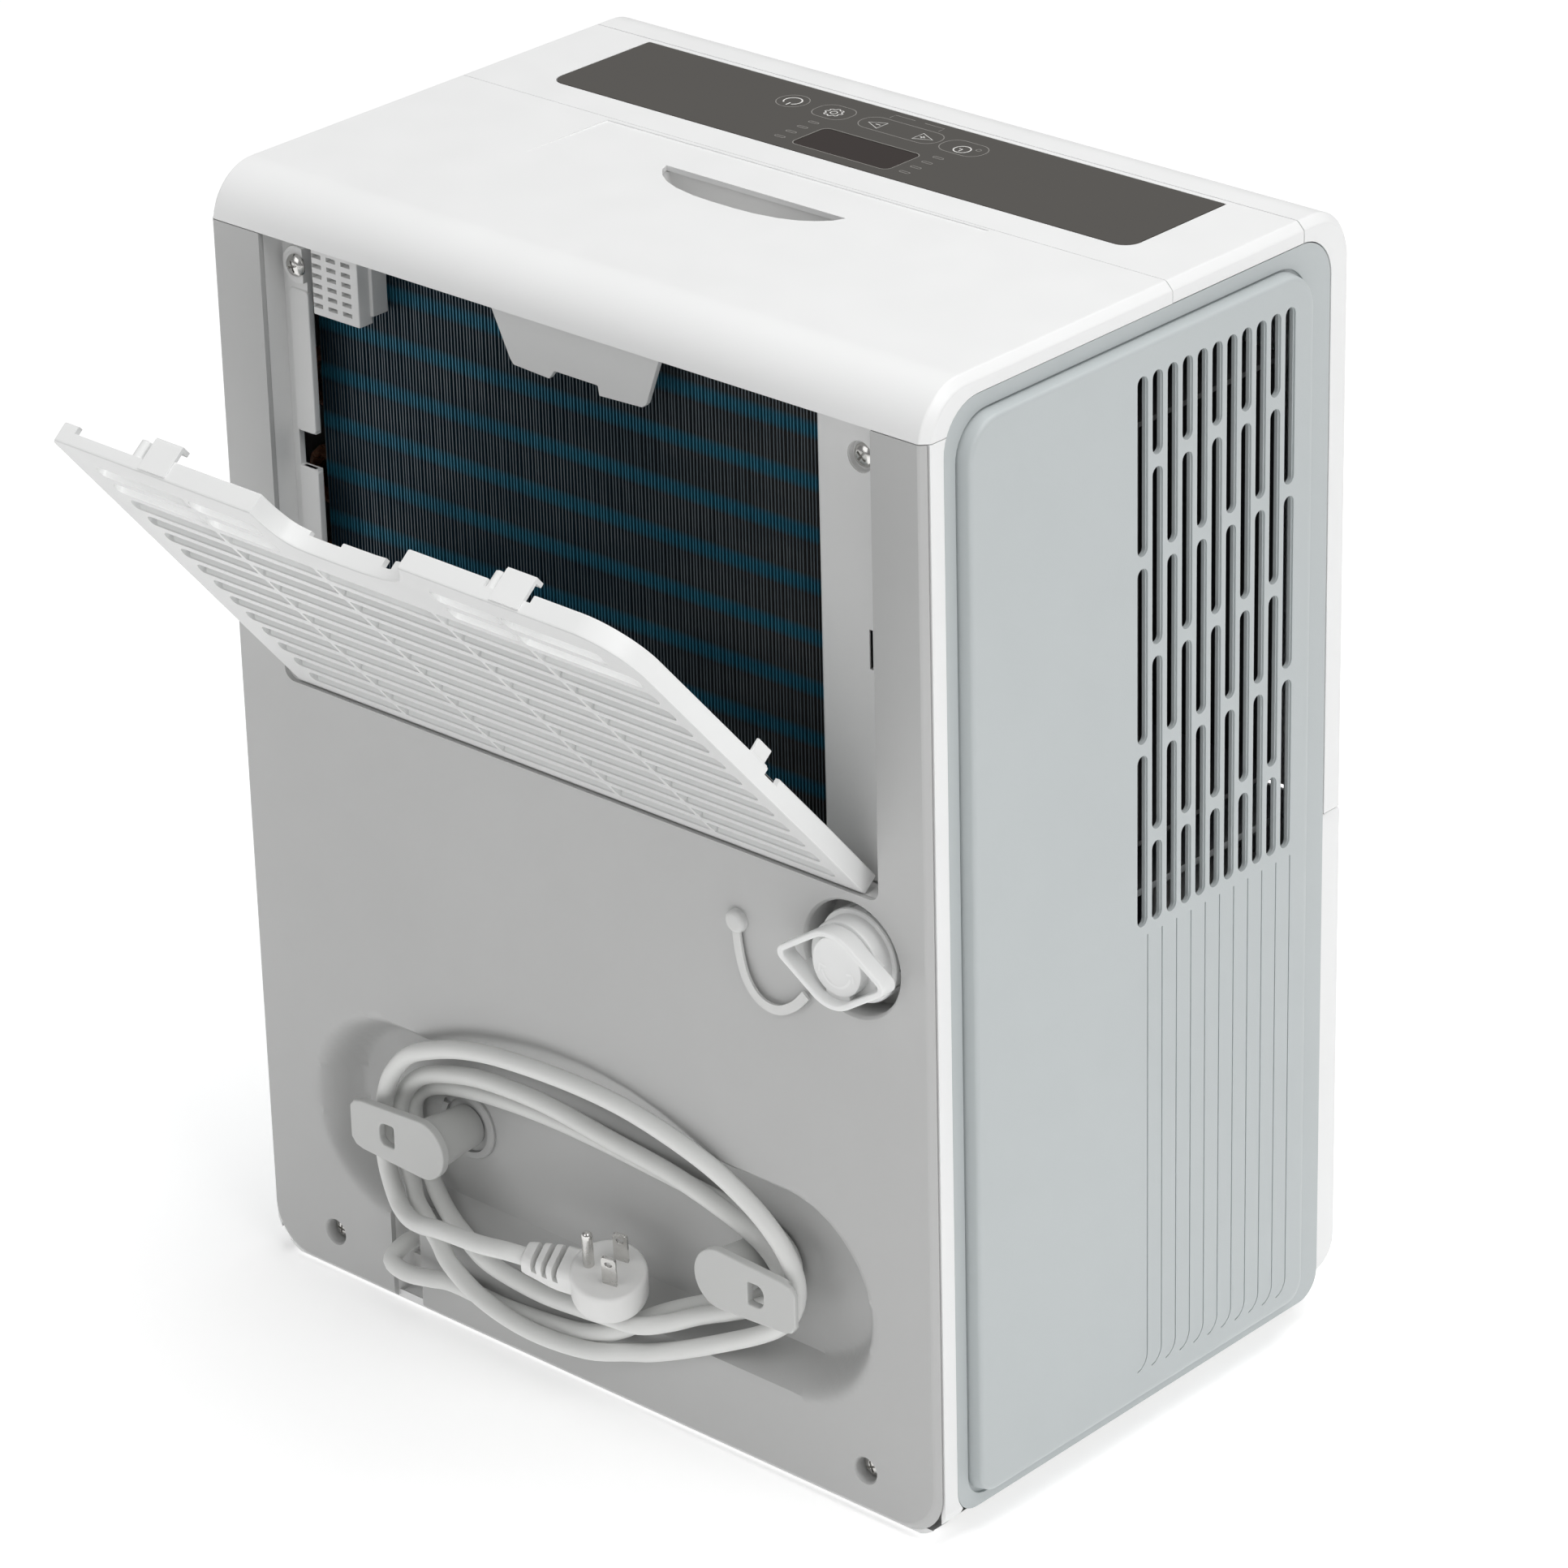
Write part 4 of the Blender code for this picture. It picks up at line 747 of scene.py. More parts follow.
def make_controls(mat):
    cover = wrap_shell("control_top_skin", mat["white"])
    keep(cover, (-200, SEAM_FRONT_Y + 0.2, 470), (200, SEAM_TOP_Y - 0.2, 510))
    bed = rounded((-154.0, 154.0), (-94.1, -33.5), (1, 1, 7.4, 7.4))
    cut(cover, slab("overlay_bed", "Z", bed, 493.8, 500))
    edge_break(cover, 0.3, 2, 40)
    settle(cover, "body", "shell_white", "control_top")

    outline = rounded((-153.6, 153.6), (-93.7, -33.9), (0.8, 0.8, 7, 7))
    overlay = slab("overlay_skin", "Z", outline, 493.85, 495.05, mat["overlay"])
    window = rounded((-24.9, 25.9), (-61.4, -40.0), (3, 3, 3, 3))
    cut(overlay, slab("overlay_hole", "Z", window, 480, 500))
    edge_break(overlay, 0.2, 2, 40)
    settle(overlay, "body", "overlay_graphite", "control_overlay")
    pane = rounded((-24.7, 25.7), (-61.2, -40.2), (2.8, 2.8, 2.8, 2.8))
    glass = slab("display_pane", "Z", pane, 493.9, 494.95, mat["glass"])
    edge_break(glass, 0.2, 2, 40)
    settle(glass, "body", "display_glass", "display_window")

    lines = []

    def draw(points, width=0.55, closed=True, ink="ink"):
        lines.append(icon_ribbon(f"icon_{len(lines)}", points, width, 495.08, mat[ink], closed))

    def pill(us, vs, r):
        draw(rounded(us, vs, (r,) * 4, 8), 0.4, True, "faint_ink")

    # power
    pill((50.6, 64.6), (-83.8, -69.8), 6.9)
    draw(ring(57.6, -76.8, 3.9, -240, 50), 0.65, False)
    draw([(57.2, -74.8), (57.0, -71.8)], 0.65, False)
    # mode
    pill((26.5, 44.5), (-84.4, -69.8), 6.0)
    gear = []
    for i in range(48):
        angle = 2 * math.pi * i / 48
        reach = 4.1 if i % 6 < 3 else 3.3
        gear.append((35.3 + reach * math.cos(angle), -76.8 + reach * math.sin(angle)))
    draw(gear, 0.5)
    draw(ring(35.3, -76.8, 1.5, 0, 345, 16), 0.45)
    # up and down
    pill((-20.5, 21.0), (-84.6, -71.2), 6.6)
    draw([(17.0, -77.2), (9.6, -80.8), (9.6, -73.6)])
    draw([(-17.2, -77.2), (-9.4, -73.6), (-9.4, -80.8)])
    draw([(10.7, -77.2), (13.1, -77.2)], 0.5, False)
    draw([(-13.2, -77.2), (-10.6, -77.2)], 0.5, False)
    draw([(-11.9, -78.4), (-11.9, -76.0)], 0.5, False)
    for x, end in ((13.5, 3.0), (-12.5, -2.0)):
        draw([(x, -86.2), (x, -90.0), (end, -90.0)], 0.4, False, "faint_ink")
    # timer
    pill((-44.0, -22.5), (-84.6, -70.8), 6.4)
    draw(ring(-33.6, -76.3, 3.6, 0, 350, 30))
    draw([(-33.6, -73.9), (-33.6, -76.5), (-31.9, -76.5)], 0.5, False)
    draw(ring(-39.4, -79.6, 1.1, 0, 345, 12), 0.4, True, "faint_ink")
    for x in (34.0, -32.4):
        for y in (-63.0, -56.2, -49.4, -42.6):
            draw(stadium(x - 1.8, x + 1.8, y, 0.75, 8), 0.4, True, "faint_ink")
    draw(rounded((-25.3, 26.3), (-61.8, -39.6), (3.4, 3.4, 3.4, 3.4), 6), 0.45, True, "faint_ink")
    icons = merge("printed_icons", lines)
    place(icons, "body", "overlay_graphite")


def make_front(mat):
    cover = wrap_shell("front_skin", mat["white"])
    keep(cover, (-200, -140, SEAM_TANK_Z + 0.4), (200, SEAM_FRONT_Y - 0.2, 510))
    edge_break(cover, 0.3, 2, 40)
    settle(cover, "body", "shell_white", "front_cover")
    tank = refined("tank_front", mat["white"], 0.6, "tank_front_skin")
    place(tank, "tank", "shell_white", "tank_front")


# ---- side panels ----
def raised_outline(inset):
    ys = (RAISED_Y[0] + inset * 1.6, RAISED_Y[1] - inset)
    zs = (RAISED_Z[0] + inset * 1.8, RAISED_Z[1] - inset)
    return rounded(ys, zs, (10 - inset, 10 - inset, 17 - inset, 17 - inset))


def make_side_panel(mat, name, side, node, slotted):
    base = HALF_W - 0.3
    border = panel_outline(0.45)
    panel = slab(name, "X", border, side * (base - WALL), side * base, mat["panel"])
    flank = ((-1.0, 0.0), (0.0, 0.0), (4.3, 0.55), (5.1, 0.8), (5.6, 1.25), (5.88, 1.8), (6.0, 2.6))
    field = prism(
        name + "_field", "X", [(side * (base + rise), raised_outline(inset)) for rise, inset in flank]
    )
    wide, exact = raised_outline(-1.1), raised_outline(0)
    cut(panel, slab(name + "_gap", "X", wide, side * (base - 1.2), side * (base + 9)))
    join(panel, slab(name + "_core", "X", exact, side * (base - WALL), side * (base - 1)))
    join(panel, field)
    hollow = raised_outline(4.2)
    cut(panel, slab(name + "_hollow", "X", hollow, side * 180, side * (RAISED_FACE - WALL)))
    if slotted:
        cut(panel, louvre_cutter(side))
        cut(panel, groove_cutter(side))
    settle(panel, "body", "panel_grey", node, angle=28)


def slot_columns():
    """Each column's y and the (low, high) spans of its slots."""
    pitch, bridge, low, high = 9.05, 5.0, 233.0, 466.0
    full = (high - low - 2 * bridge) / 3
    columns = []
    for column in range(11):
        lengths = [full] * 3
        if column % 2:
            lengths = [(full - bridge) / 2, full, full, (full - bridge) / 2]
        spans = []
        top = high
        for length in lengths:
            spans.append((top - length, top))
            top -= length + bridge
        columns.append((9.0 - column * pitch, spans))
    return columns


def louvre_cutter(side):
    bm = bmesh.new()
    half = 3.15
    for y, spans in slot_columns():
        for low, high in spans:
            inner = stadium_upright(y, low, high, half - 0.55)
            outer = stadium_upright(y, low, high, half)
            steps = ((180, inner), (RAISED_FACE - 0.9, inner), (RAISED_FACE - 0.88, outer), (205, outer))
            add_rings(bm, [[(side * x, u, v) for u, v in outline] for x, outline in steps])
    return finish_mesh("louvre_cutter", bm)


def stadium_upright(u, low, high, r):
    top = [math.radians(180 * i / 8) for i in range(9)]
    bottom = [math.radians(180 + 180 * i / 8) for i in range(9)]
    outline = [(u + r * math.cos(a), high - r + r * math.sin(a)) for a in top]
    return outline + [(u + r * math.cos(a), low + r + r * math.sin(a)) for a in bottom]


def groove_cutter(side):
    """Fine lines that run down from the slots and curl forward at their feet."""
    bm = bmesh.new()
    for index, (y, _) in enumerate(slot_columns()):
        u = y - 3.3
        foot = 31.0 - index * 0.55
        path = [(u, 228.5), (u, foot + 7)]
        path += [(u + 7 - 7 * math.cos(a), foot + 7 - 7 * math.sin(a)) for a in (0.3, 0.7, 1.1, 1.45)]
        path = [Vector(p) for p in path]
        left, right = [], []
        for i, p in enumerate(path):
            along = heading(path, i)
            across = Vector((-along.y, along.x)) * 0.32
            left.append(p + across)
            right.append(p - across)
        outline = left + list(reversed(right))
        depths = (RAISED_FACE - 0.5, RAISED_FACE + 4)
        add_rings(bm, [[(side * x, p.x, p.y) for p in outline] for x in depths])
    return finish_mesh("groove_cutter", bm)


# ---- rear cover ----
def bay_depth(x, z):
    """How deep the cord bay is at a point of the rear face: a soft-walled stadium under a shallow arch."""
    along = min(BAY_HALF, max(-BAY_HALF, x))
    distance = math.hypot(x - along, z - BAY_Z)
    edge = (BAY_R + 1.5 - distance) / 13.0
    share = min(1.0, max(0.0, edge))
    wall = share * share * (3 - 2 * share)
    arch_low = 132.0
    arch_high = 160.0 - ((x - 10.0) / 88.0) ** 2 * 24.0
    arch = 0.0
    if z > 100.0 and abs(x - 10.0) < 118.0:
        reach = (arch_high - z) / 20.0
        reach = min(1.0, max(0.0, reach))
        arch = reach * reach * (3 - 2 * reach) * 12.0
    return max(BAY_DEPTH * wall, arch) if z > arch_low - 32.0 else BAY_DEPTH * wall


def grid_lines(low, high, fine_low, fine_high, fine, coarse):
    lines = [low]
    while lines[-1] < high - 1e-6:
        here = lines[-1]
        step = fine if fine_low <= here < fine_high else coarse
        limit = fine_low if here < fine_low - 1e-6 else high
        lines.append(min(here + step, limit if here < limit else high, high))
    return lines


def make_rear_cover(mat):
    xs = grid_lines(-189.9, 189.9, -165.0, 165.0, 2.75, 12.0)
    zs = grid_lines(LOW_Z, SEAM_BACK_Z - 0.2, 38.0, 172.0, 2.75, 30.0)
    bm = bmesh.new()
    front, back = [], []
    for z in zs:
        depths = [bay_depth(x, z) for x in xs]
        front.append([bm.verts.new((x, BACK_Y - d, z)) for x, d in zip(xs, depths)])
        back.append([bm.verts.new((x, BACK_Y - d - WALL, z)) for x, d in zip(xs, depths)])
    rows, columns = len(zs), len(xs)
    for r in range(rows - 1):
        for c in range(columns - 1):
            bm.faces.new((front[r][c], front[r][c + 1], front[r + 1][c + 1], front[r + 1][c]))
            bm.faces.new((back[r][c], back[r + 1][c], back[r + 1][c + 1], back[r][c + 1]))
    for r in range(rows - 1):
        for c in (0, columns - 1):
            bm.faces.new((front[r][c], front[r + 1][c], back[r + 1][c], back[r][c]))
    for c in range(columns - 1):
        for r in (0, rows - 1):
            bm.faces.new((front[r][c], front[r][c + 1], back[r][c + 1], back[r][c]))
    # the rear face takes the darker painted-shade copy of the white plastic
    cover = finish_mesh("rear_skin", bm, mat["rear"])

    def face(inset):
        side, heights = HALF_W - inset, (LOW_Z + inset, SEAM_BACK_Z - 0.2)
        return rounded((-side, side), heights, (20, 20, 0.01, 0.01), 14)

    flank = ((BACK_Y + 1, 3.95), (BACK_Y - 0.02, 3.9), (BACK_Y - 0.3, 3.2), (BACK_Y - 0.75, 2.7))
    flank += ((BACK_Y - 2.7, 0.75), (BACK_Y - 3.2, 0.3), (BACK_Y - 3.9, 0.0), (60, 0.0))
    boolean(cover, prism("rear_outline", "Y", [(y, face(inset)) for y, inset in flank]), "INTERSECT")
    window = rounded(WINDOW_X, (WINDOW_LOW_Z, 520), (5, 5, 1, 1), 8)
    drain = [(100, 24), (126.4, 24), (127.2, 24.3), (127.8, 25), (129, 26.6)]
    screw = [(90, 5.4), (127.0, 5.4), (127.7, 5.9), (129, 7.2)]
    cutters = [
        slab("window_cut", "Y", window, 90, 140),
        boxes("notch_cut", [((99, 80, -5), (116, 140, 47))]),
        turned("drain_cut", "Y", DRAIN_X, DRAIN_Z, drain),
    ]
    cutters += [turned(f"screw_cut_{x}", "Y", x, FOOT_SCREW_Z, screw) for x in (-FOOT_SCREW_X, FOOT_SCREW_X)]
    cut(cover, *cutters)
    settle(cover, "body", "shell_white", "rear_cover", angle=38)

    flanks = wrap_shell("rear_flank", mat["white"])
    keep(flanks, (-200, PANEL_Y[1] - 4, -5), (200, BACK_Y - 3.3, SEAM_BACK_Z - 0.2))
    cut(flanks, boxes("flank_inside", [((-186, 100, 22), (186, 140, 480))]))
    settle(flanks, "body", "shell_white")

    inner = rounded(WINDOW_X, (WINDOW_LOW_Z, SEAM_BACK_Z + 16), (5, 5, 12, 12), 8)
    wide = (WINDOW_X[0] - WALL, WINDOW_X[1] + WALL)
    outer = rounded(wide, (WINDOW_LOW_Z - WALL, SEAM_BACK_Z + 18), (7, 7, 14, 14), 8)
    walls = slab("window_walls", "Y", outer, 112.5, 125.6, mat["frame"])
    cut(walls, slab("window_walls_cut", "Y", inner, 100, 140))
    cut(walls, boxes("window_walls_top", [((-200, 90, SEAM_BACK_Z - 0.6), (200, 140, 520))]))
    settle(walls, "body", "shell_white")

    # the drain cup and the screw seats below take the painted-shade grey of the rear face
    cup = turned("drain_cup", "Y", DRAIN_X, DRAIN_Z, [(110.5, 26.5), (126.5, 26.5)], mat["rear"], 64)
    cut(cup, turned("drain_cup_cut", "Y", DRAIN_X, DRAIN_Z, [(113, 24), (140, 24)], None, 64))
    cut(cup, turned("drain_cup_hole", "Y", DRAIN_X, DRAIN_Z, [(100, 11.5), (140, 11.5)], None, 48))
    settle(cup, "body", "shell_white")
    for side in (-1, 1):
        where = (side * FOOT_SCREW_X, FOOT_SCREW_Z)
        seat = turned(f"screw_seat_{side}", "Y", *where, [(116.5, 7.2), (126, 7.2)], mat["rear"])
        cut(seat, turned("seat_cut", "Y", *where, [(110, 2.3), (121.5, 2.3), (121.51, 5.35), (140, 5.4)]))
        settle(seat, "body", "shell_white")


def make_base(mat):
    """The base tray, rounded along its sides so that it stays inside the shell's rounded feet."""
    base = refined("base_pan", mat["grey"], 0.4, "base_skin")
    side = HALF_W - 1.5
    room = rounded((-side, side), (-1, 80), (21, 21, 0.5, 0.5), 14)
    boolean(base, slab("base_room", "Y", room, -140, 140), "INTERSECT")
    settle(base, "body", "inner_plastic", "base_pan")


def make_notch_liner(mat):
    liner = boxes("notch_liner", [((97.4, 100, 3), (117.6, 125.4, 48.6))], mat["frame"])
    cut(liner, boxes("liner_room", [((99, 112.2, -5), (116, 140, 47))]))
    cut(liner, turned("liner_hole", "Y", 107.8, 32.6, [(90, 6.0), (120, 6.0)]))
    settle(liner, "body", "shell_white")


# ---- coil, frame and sensor box behind the window ----
def make_coil(mat):
    bm = bmesh.new()
    for i in range(int((COIL_X[1] - COIL_X[0]) / FIN_PITCH)):
        x = COIL_X[0] + 0.4 + i * FIN_PITCH
        bend = 0.22 * math.sin(i * 1.7) + 0.16 * math.sin(i * 0.53 + 1.0)
        rings = []
        for step in range(9):
            z = 266.0 + step * 26.0
            sway = bend * math.sin(step * 1.3 + i * 0.11)
            left, right = x + sway - FIN_HALF, x + sway + FIN_HALF
            rings.append([(left, 103.4, z), (right, 103.4, z), (right, 84.0, z), (left, 84.0, z)])
        add_rings(bm, rings)
    fins = finish_mesh("evaporator_fin_pack", bm, mat["fins"])
    paint_faces(fins, mat["fin_edge"], 103.0)
    shade(fins)
    collars = []
    for row in range(TUBE_ROWS):
        z = TUBE_LOW_Z + row * TUBE_PITCH
        collars.append(turned(f"collar_{row}", "X", 93.0, z, [(-127, 5.2), (155, 5.2)], mat["fins"], 24))
    # painted shade: a black box behind the fins darkens the view between them
    back = boxes("painted_shade_behind_coil", [((-127.5, 83, 266), (155.5, 87, 474))], mat["black"])
    pack = merge("evaporator_pack", [fins, *collars])
    place(pack, "body", "blue_fin", "evaporator_fins")
    place(back, "body", "black_plastic")
    plate = [(-129.6, 82), (-128.4, 82), (-128.4, 104.6), (-131.5, 105.6), (-131.5, 104.6), (-129.6, 103.8)]
    edge = prism("coil_end_plate", "Z", [(z, plate) for z in (264, 474)], mat["bare"])
    settle(edge, "body", "bare_fin")


def make_window_frame(mat):
    frame_piece = boxes("coil_frame_skin", [((-175, 112.5, 280), (175, 115.3, 472.5))], mat["frame"])
    for x, z, seat in FRAME_SCREWS:
        top = max(seat, 115.3)
        boss = turned(f"boss_{x}", "Y", x, z, [(106, 8), (top - 0.2, 8), (top, 7.8)])
        join(frame_piece, boss)
    window = rounded((-126, 147.2), (287, 480), (2, 2, 1, 1), 4)
    cut(frame_piece, slab("frame_window", "Y", window, 100, 125))
    cut(frame_piece, boxes("frame_notch", [((143, 100, 371.5), (157, 125, 387))]))
    for x, z, seat in FRAME_SCREWS:
        spans = [(100, 2.3), (seat - 0.1, 2.3), (seat - 0.09, 6.2), (130, 6.2)]
        cut(frame_piece, turned(f"boss_hole_{x}", "Y", x, z, spans))
    cut(frame_piece, boxes("clip_slot", [((-152.2, 100, 361), (-150.4, 130, 386))]))
    edge_break(frame_piece, 0.3, 2, 40)
    settle(frame_piece, "body", "shell_white", "coil_frame")
    pillars = []
    for low, high in ((288, 371.5), (387, 449)):
        outline = rounded((146.6, 157.5), (low, high), (2.0, 2.0, 2.0, 2.0), 6)
        pillar = slab(f"pillar_{low}", "Y", outline, 113, 116.0, mat["frame"])
        edge_break(pillar, 0.6, 3, 40)
        shade(pillar)
        pillars.append(pillar)
    left = merge("frame_pillars", pillars)
    place(left, "body", "shell_white")
    profile = [(-126.2, 104.5), (-126.2, 115.2), (-127.0, 115.9), (-163.0, 115.9), (-163.0, 112.7)]
    profile += [(-129, 112.7)]
    strip = prism("frame_right_strip", "Z", [(z, profile) for z in (281, 473.8)], mat["frame"])
    cut(strip, boxes("strip_slit", [((-152.2, 100, 369.5), (-150.4, 130, 386))]))
    x, z, seat = FRAME_SCREWS[1]
    cut(strip, turned("strip_boss", "Y", x, z, [(100, 6.4), (130, 6.4)]))
    settle(strip, "body", "shell_white", angle=25)

    box = boxes("sensor_skin", [((113.3, 112.5, 442.8), (139.3, 120, 471.5))], mat["frame"])
    join(box, boxes("sensor_back", [((112, 105, 446), (131, 113.5, 471.5))]))
    edge_break(box, 0.6, 3)
    slots = []
    for column in range(3):
        for row in range(6):
            x, z = 117.3 + column * 8.2, 446 + row * 4.2
            slots.append(((x, 117, z), (x + 5.2, 125, z + 1.9)))
    cut(box, boxes("sensor_slots", slots))
    settle(box, "body", "shell_white", "sensor_housing")
    outline = [(46.3, 474.1), (34.2, 448.8), (32.4, 446.7), (13.3, 445.7), (10.2, 449.6)]
    outline += [(-12.7, 449.5), (-13.4, 445.4), (-36, 446.4), (-38.4, 448.3), (-48, 474.1)]
    tab = slab("catch_skin", "Y", outline, 113.2, 115.9, mat["frame"])
    edge_break(tab, 0.45, 2, 40)
    settle(tab, "body", "shell_white", "catch_tab")
    # painted shade: thin black sheets under the coil and under the window lip darken the inside of the
    # opening
    inside = boxes(
        "painted_shade_sheets",
        [((-186, 104.2, 243), (186, 105.0, 264.5)), ((-186, 60, 474.8), (186, 111, 475.6))],
        mat["black"],
    )
    place(inside, "body", "black_plastic")


# ---- rear grille, drawn closed and then swung open about its hinge ----
def swing_open(obj):
    hinge = Vector(HINGE) * 0.001
    turn = Matrix.Rotation(-math.radians(GRILLE_OPEN_DEG), 4, "X")
    bpy.context.view_layer.update()
    obj.data.transform(Matrix.Translation(hinge) @ turn @ Matrix.Translation(-hinge))


def spring(obj):
    """Lets the free corner at low x stand slightly proud, as a thin moulding does."""
    for vertex in obj.data.vertices:
        along = (GRILLE_HALF * 0.001 - vertex.co.x) / (2 * GRILLE_HALF * 0.001)
        up = (vertex.co.z - GRILLE_LOW_Z * 0.001) / ((GRILLE_HIGH_Z - GRILLE_LOW_Z) * 0.001)
        vertex.co.y += GRILLE_WARP * 0.001 * max(0.0, along) * max(0.0, up)


def paint_faces(obj, material, low_y):
    """Gives the outward faces beyond a plane their own material."""
    obj.data.materials.append(material)
    index = len(obj.data.materials) - 1
    for polygon in obj.data.polygons:
        if polygon.normal.y > 0.7 and polygon.center.y > low_y * 0.001:
            polygon.material_index = index


def grille_lean(z):
    """How far the low-x side has leaned in at a height."""
    share = (z - GRILLE_LOW_Z - 40) / (GRILLE_HIGH_Z - GRILLE_LOW_Z - 40)
    return GRILLE_TAPER * max(0.0, share)


def grille_line(inset):
    """The grille's edge moved inwards by the inset, with its finger scoop and one large corner."""
    side, high, low = GRILLE_HALF - inset, GRILLE_HIGH_Z - inset, GRILLE_LOW_Z + inset
    corner = GRILLE_CORNER - inset
    share = inset / WALL
    scoop = [(a + (c - a) * share, b + (d - b) * share) for (a, b), (c, d) in zip(SCOOP, SCOOP_WALL)]
    line = [(side, low), (side, high - 3), (side - 3, high), *soften(scoop, 2, False)]
    for step in range(13):
        angle = math.radians(90 + 7.5 * step)
        x = -side + GRILLE_TAPER + corner + corner * math.cos(angle)
        line.append((x, high - corner + corner * math.sin(angle)))
    return line + [(-side, low + 40), (-side, low)]


def vent_spans():
    """Each vent as (left x, right x, low z)."""
    edges = [-145.5]
    for x in RIB_XS:
        edges += [x - 1.1, x + 1.1]
    edges.append(141.0)
    spans = []
    for row in range(VENT_ROWS):
        z = GRILLE_LOW_Z + 8.0 + row * VENT_PITCH
        beside_scoop = z + VENT_HEIGHT > 444
        for a, b in zip(edges[::2], edges[1::2]):
            if beside_scoop:
                if a < -40:
                    b = min(b, -45.0)
                elif b > 44:
                    a = max(a, 49.0)
                else:
                    continue
            if a < -140:
                a += grille_lean(z)
            if z + VENT_HEIGHT > 452:
                a = max(a, -132.0)
            if b - a > 6:
                spans.append((a, b, z))
    return spans


def make_grille(mat):
    y0, y1 = GRILLE_Y
    shapes = [(y0, grille_line(0.5)), (y0 + 0.5, grille_line(0))]
    shapes += [(y1 - 0.9, grille_line(0)), (y1 - 0.35, grille_line(0.25)), (y1, grille_line(0.8))]
    grille = prism("grille_skin", "Y", shapes, mat["grille"])
    cut(grille, slab("grille_room", "Y", grille_line(WALL), 100, y1 - 3.5))
    bm = bmesh.new()
    for a, b, z in vent_spans():
        left_r = 3.2 if a < -139 or b == -45.0 else 1.2
        right_r = 3.2 if b > 140 or a == 49.0 else 1.2
        outline = rounded((a, b), (z, z + VENT_HEIGHT), (left_r, right_r, right_r, left_r), 5)
        if b > 140:
            outline = [(u - max(0.0, (v - z) * 0.35) if u > b - 8 else u, v) for u, v in outline]
        add_rings(bm, [[(u, y, v) for u, v in outline] for y in (110, 140)])
    cut(grille, finish_mesh("grille_slots", bm))
    cut(
        grille,
        boxes("rim_dip", [((91, 100, 462), (143.5, 122.4, 480)), ((-103, 100, 462), (-79, 122.4, 480))]),
        boxes("corner_dip", [((143.5, 100, 450), (160, 120.9, 471))]),
        boxes("side_dip", [((-160, 100, 358.5), (-148, 122.0, 368))]),
        boxes("scoop_dip", [((13, 100, 440), (30, 121.0, 460)), ((-17, 100, 440), (-11, 123.0, 460))]),
    )
    # painted shade: the outward face bars take the darker copy of the grille white
    paint_faces(grille, mat["grille_face_painted_shade"], y1 - 1.2)
    shade(grille, 30)

    slats = bmesh.new()
    for a, b, z in vent_spans():
        profile = [(y1 - 0.5, z - 1.2), (y1 - 0.4, z - 0.1), (y1 - 6.3, z + 2.0), (y1 - 6.3, z + 0.8)]
        add_rings(slats, [[(x, u, v) for u, v in profile] for x in (a - 1.5, b + 1.5)])
    # painted light: the vanes take the lighter copy of the grille white
    vanes = finish_mesh("grille_vanes", slats, mat["painted_light_white"])
    spans = []
    for x in RIB_XS:
        high = 445 if x in RIB_XS[1:3] else 470
        spans.append(((x - 1.1, y1 - 6.3, GRILLE_LOW_Z + 5), (x + 1.1, y1 - 3.0, high)))
    cross = boxes("grille_ribs", spans, mat["grille"])
    pieces = [vanes, cross]
    for x in (109.6, -81.5):
        spans = [(114.4, 2.2), (114.8, 2.8), (124, 3.0)]
        pieces.append(turned(f"post_{x}", "Y", x, 470.4, spans, mat["grille"], 20))
    for x in (96.5, -92.5):
        clip = boxes(f"clip_{x}", [((x - 7.5, 113.2, 472.4), (x + 7.5, 126.6, 474.2))], mat["grille"])
        join(clip, boxes(f"clip_lip_{x}", [((x - 7.5, 112.4, 469.2), (x + 7.5, 114.4, 474.0))]))
        edge_break(clip, 0.7, 3, 40)
        shade(clip)
        pieces.append(clip)
    side_clip = boxes("side_clip", [((-152.6, 118.6, 368.5), (-150.0, 124, 381))], mat["grille"])
    join(side_clip, boxes("side_clip_blade", [((-152.0, 113.0, 370), (-150.6, 120, 380))]))
    edge_break(side_clip, 0.7, 3, 40)
    shade(side_clip)
    pieces.append(side_clip)
    whole = merge("rear_grille_skin", [grille, *pieces])
    spring(whole)
    swing_open(whole)
    place(whole, "grille", "shell_white", "rear_grille")

    net = bmesh.new()
    add_box(net, (-147, 119.3, GRILLE_LOW_Z + 6), (147, 119.8, 438))
    sheet = finish_mesh("filter_net_skin", net, mat["net"])
    rails = [((-147, 119.2, z), (147, 120.9, z + 3)) for z in (286.2, 336, 386, 435)]
    rails += [((x, 119.2, 286.2), (x + 3, 120.9, 438)) for x in (-147, -74, -1.5, 71, 144)]
    bars = boxes("filter_rails", rails, mat["grille"])
    filter_piece = merge("air_filter_skin", [sheet, bars])
    spring(filter_piece)
    swing_open(filter_piece)
    place(filter_piece, "grille", "filter_net", "air_filter")


# ---- drain cap, tether, hooks, screws ----
def lozenge(centre_r, tip_r, tip_at):
    """The outline stretched round a disc and two small tip discs beside it."""
    points = circle(DRAIN_X, DRAIN_Z, centre_r, 72)
    for side in (-1, 1):
        points += circle(DRAIN_X + side * tip_at, DRAIN_Z, tip_r, 32)
    order = convex_hull_2d([Vector(p) for p in points])
    return [points[i] for i in order]


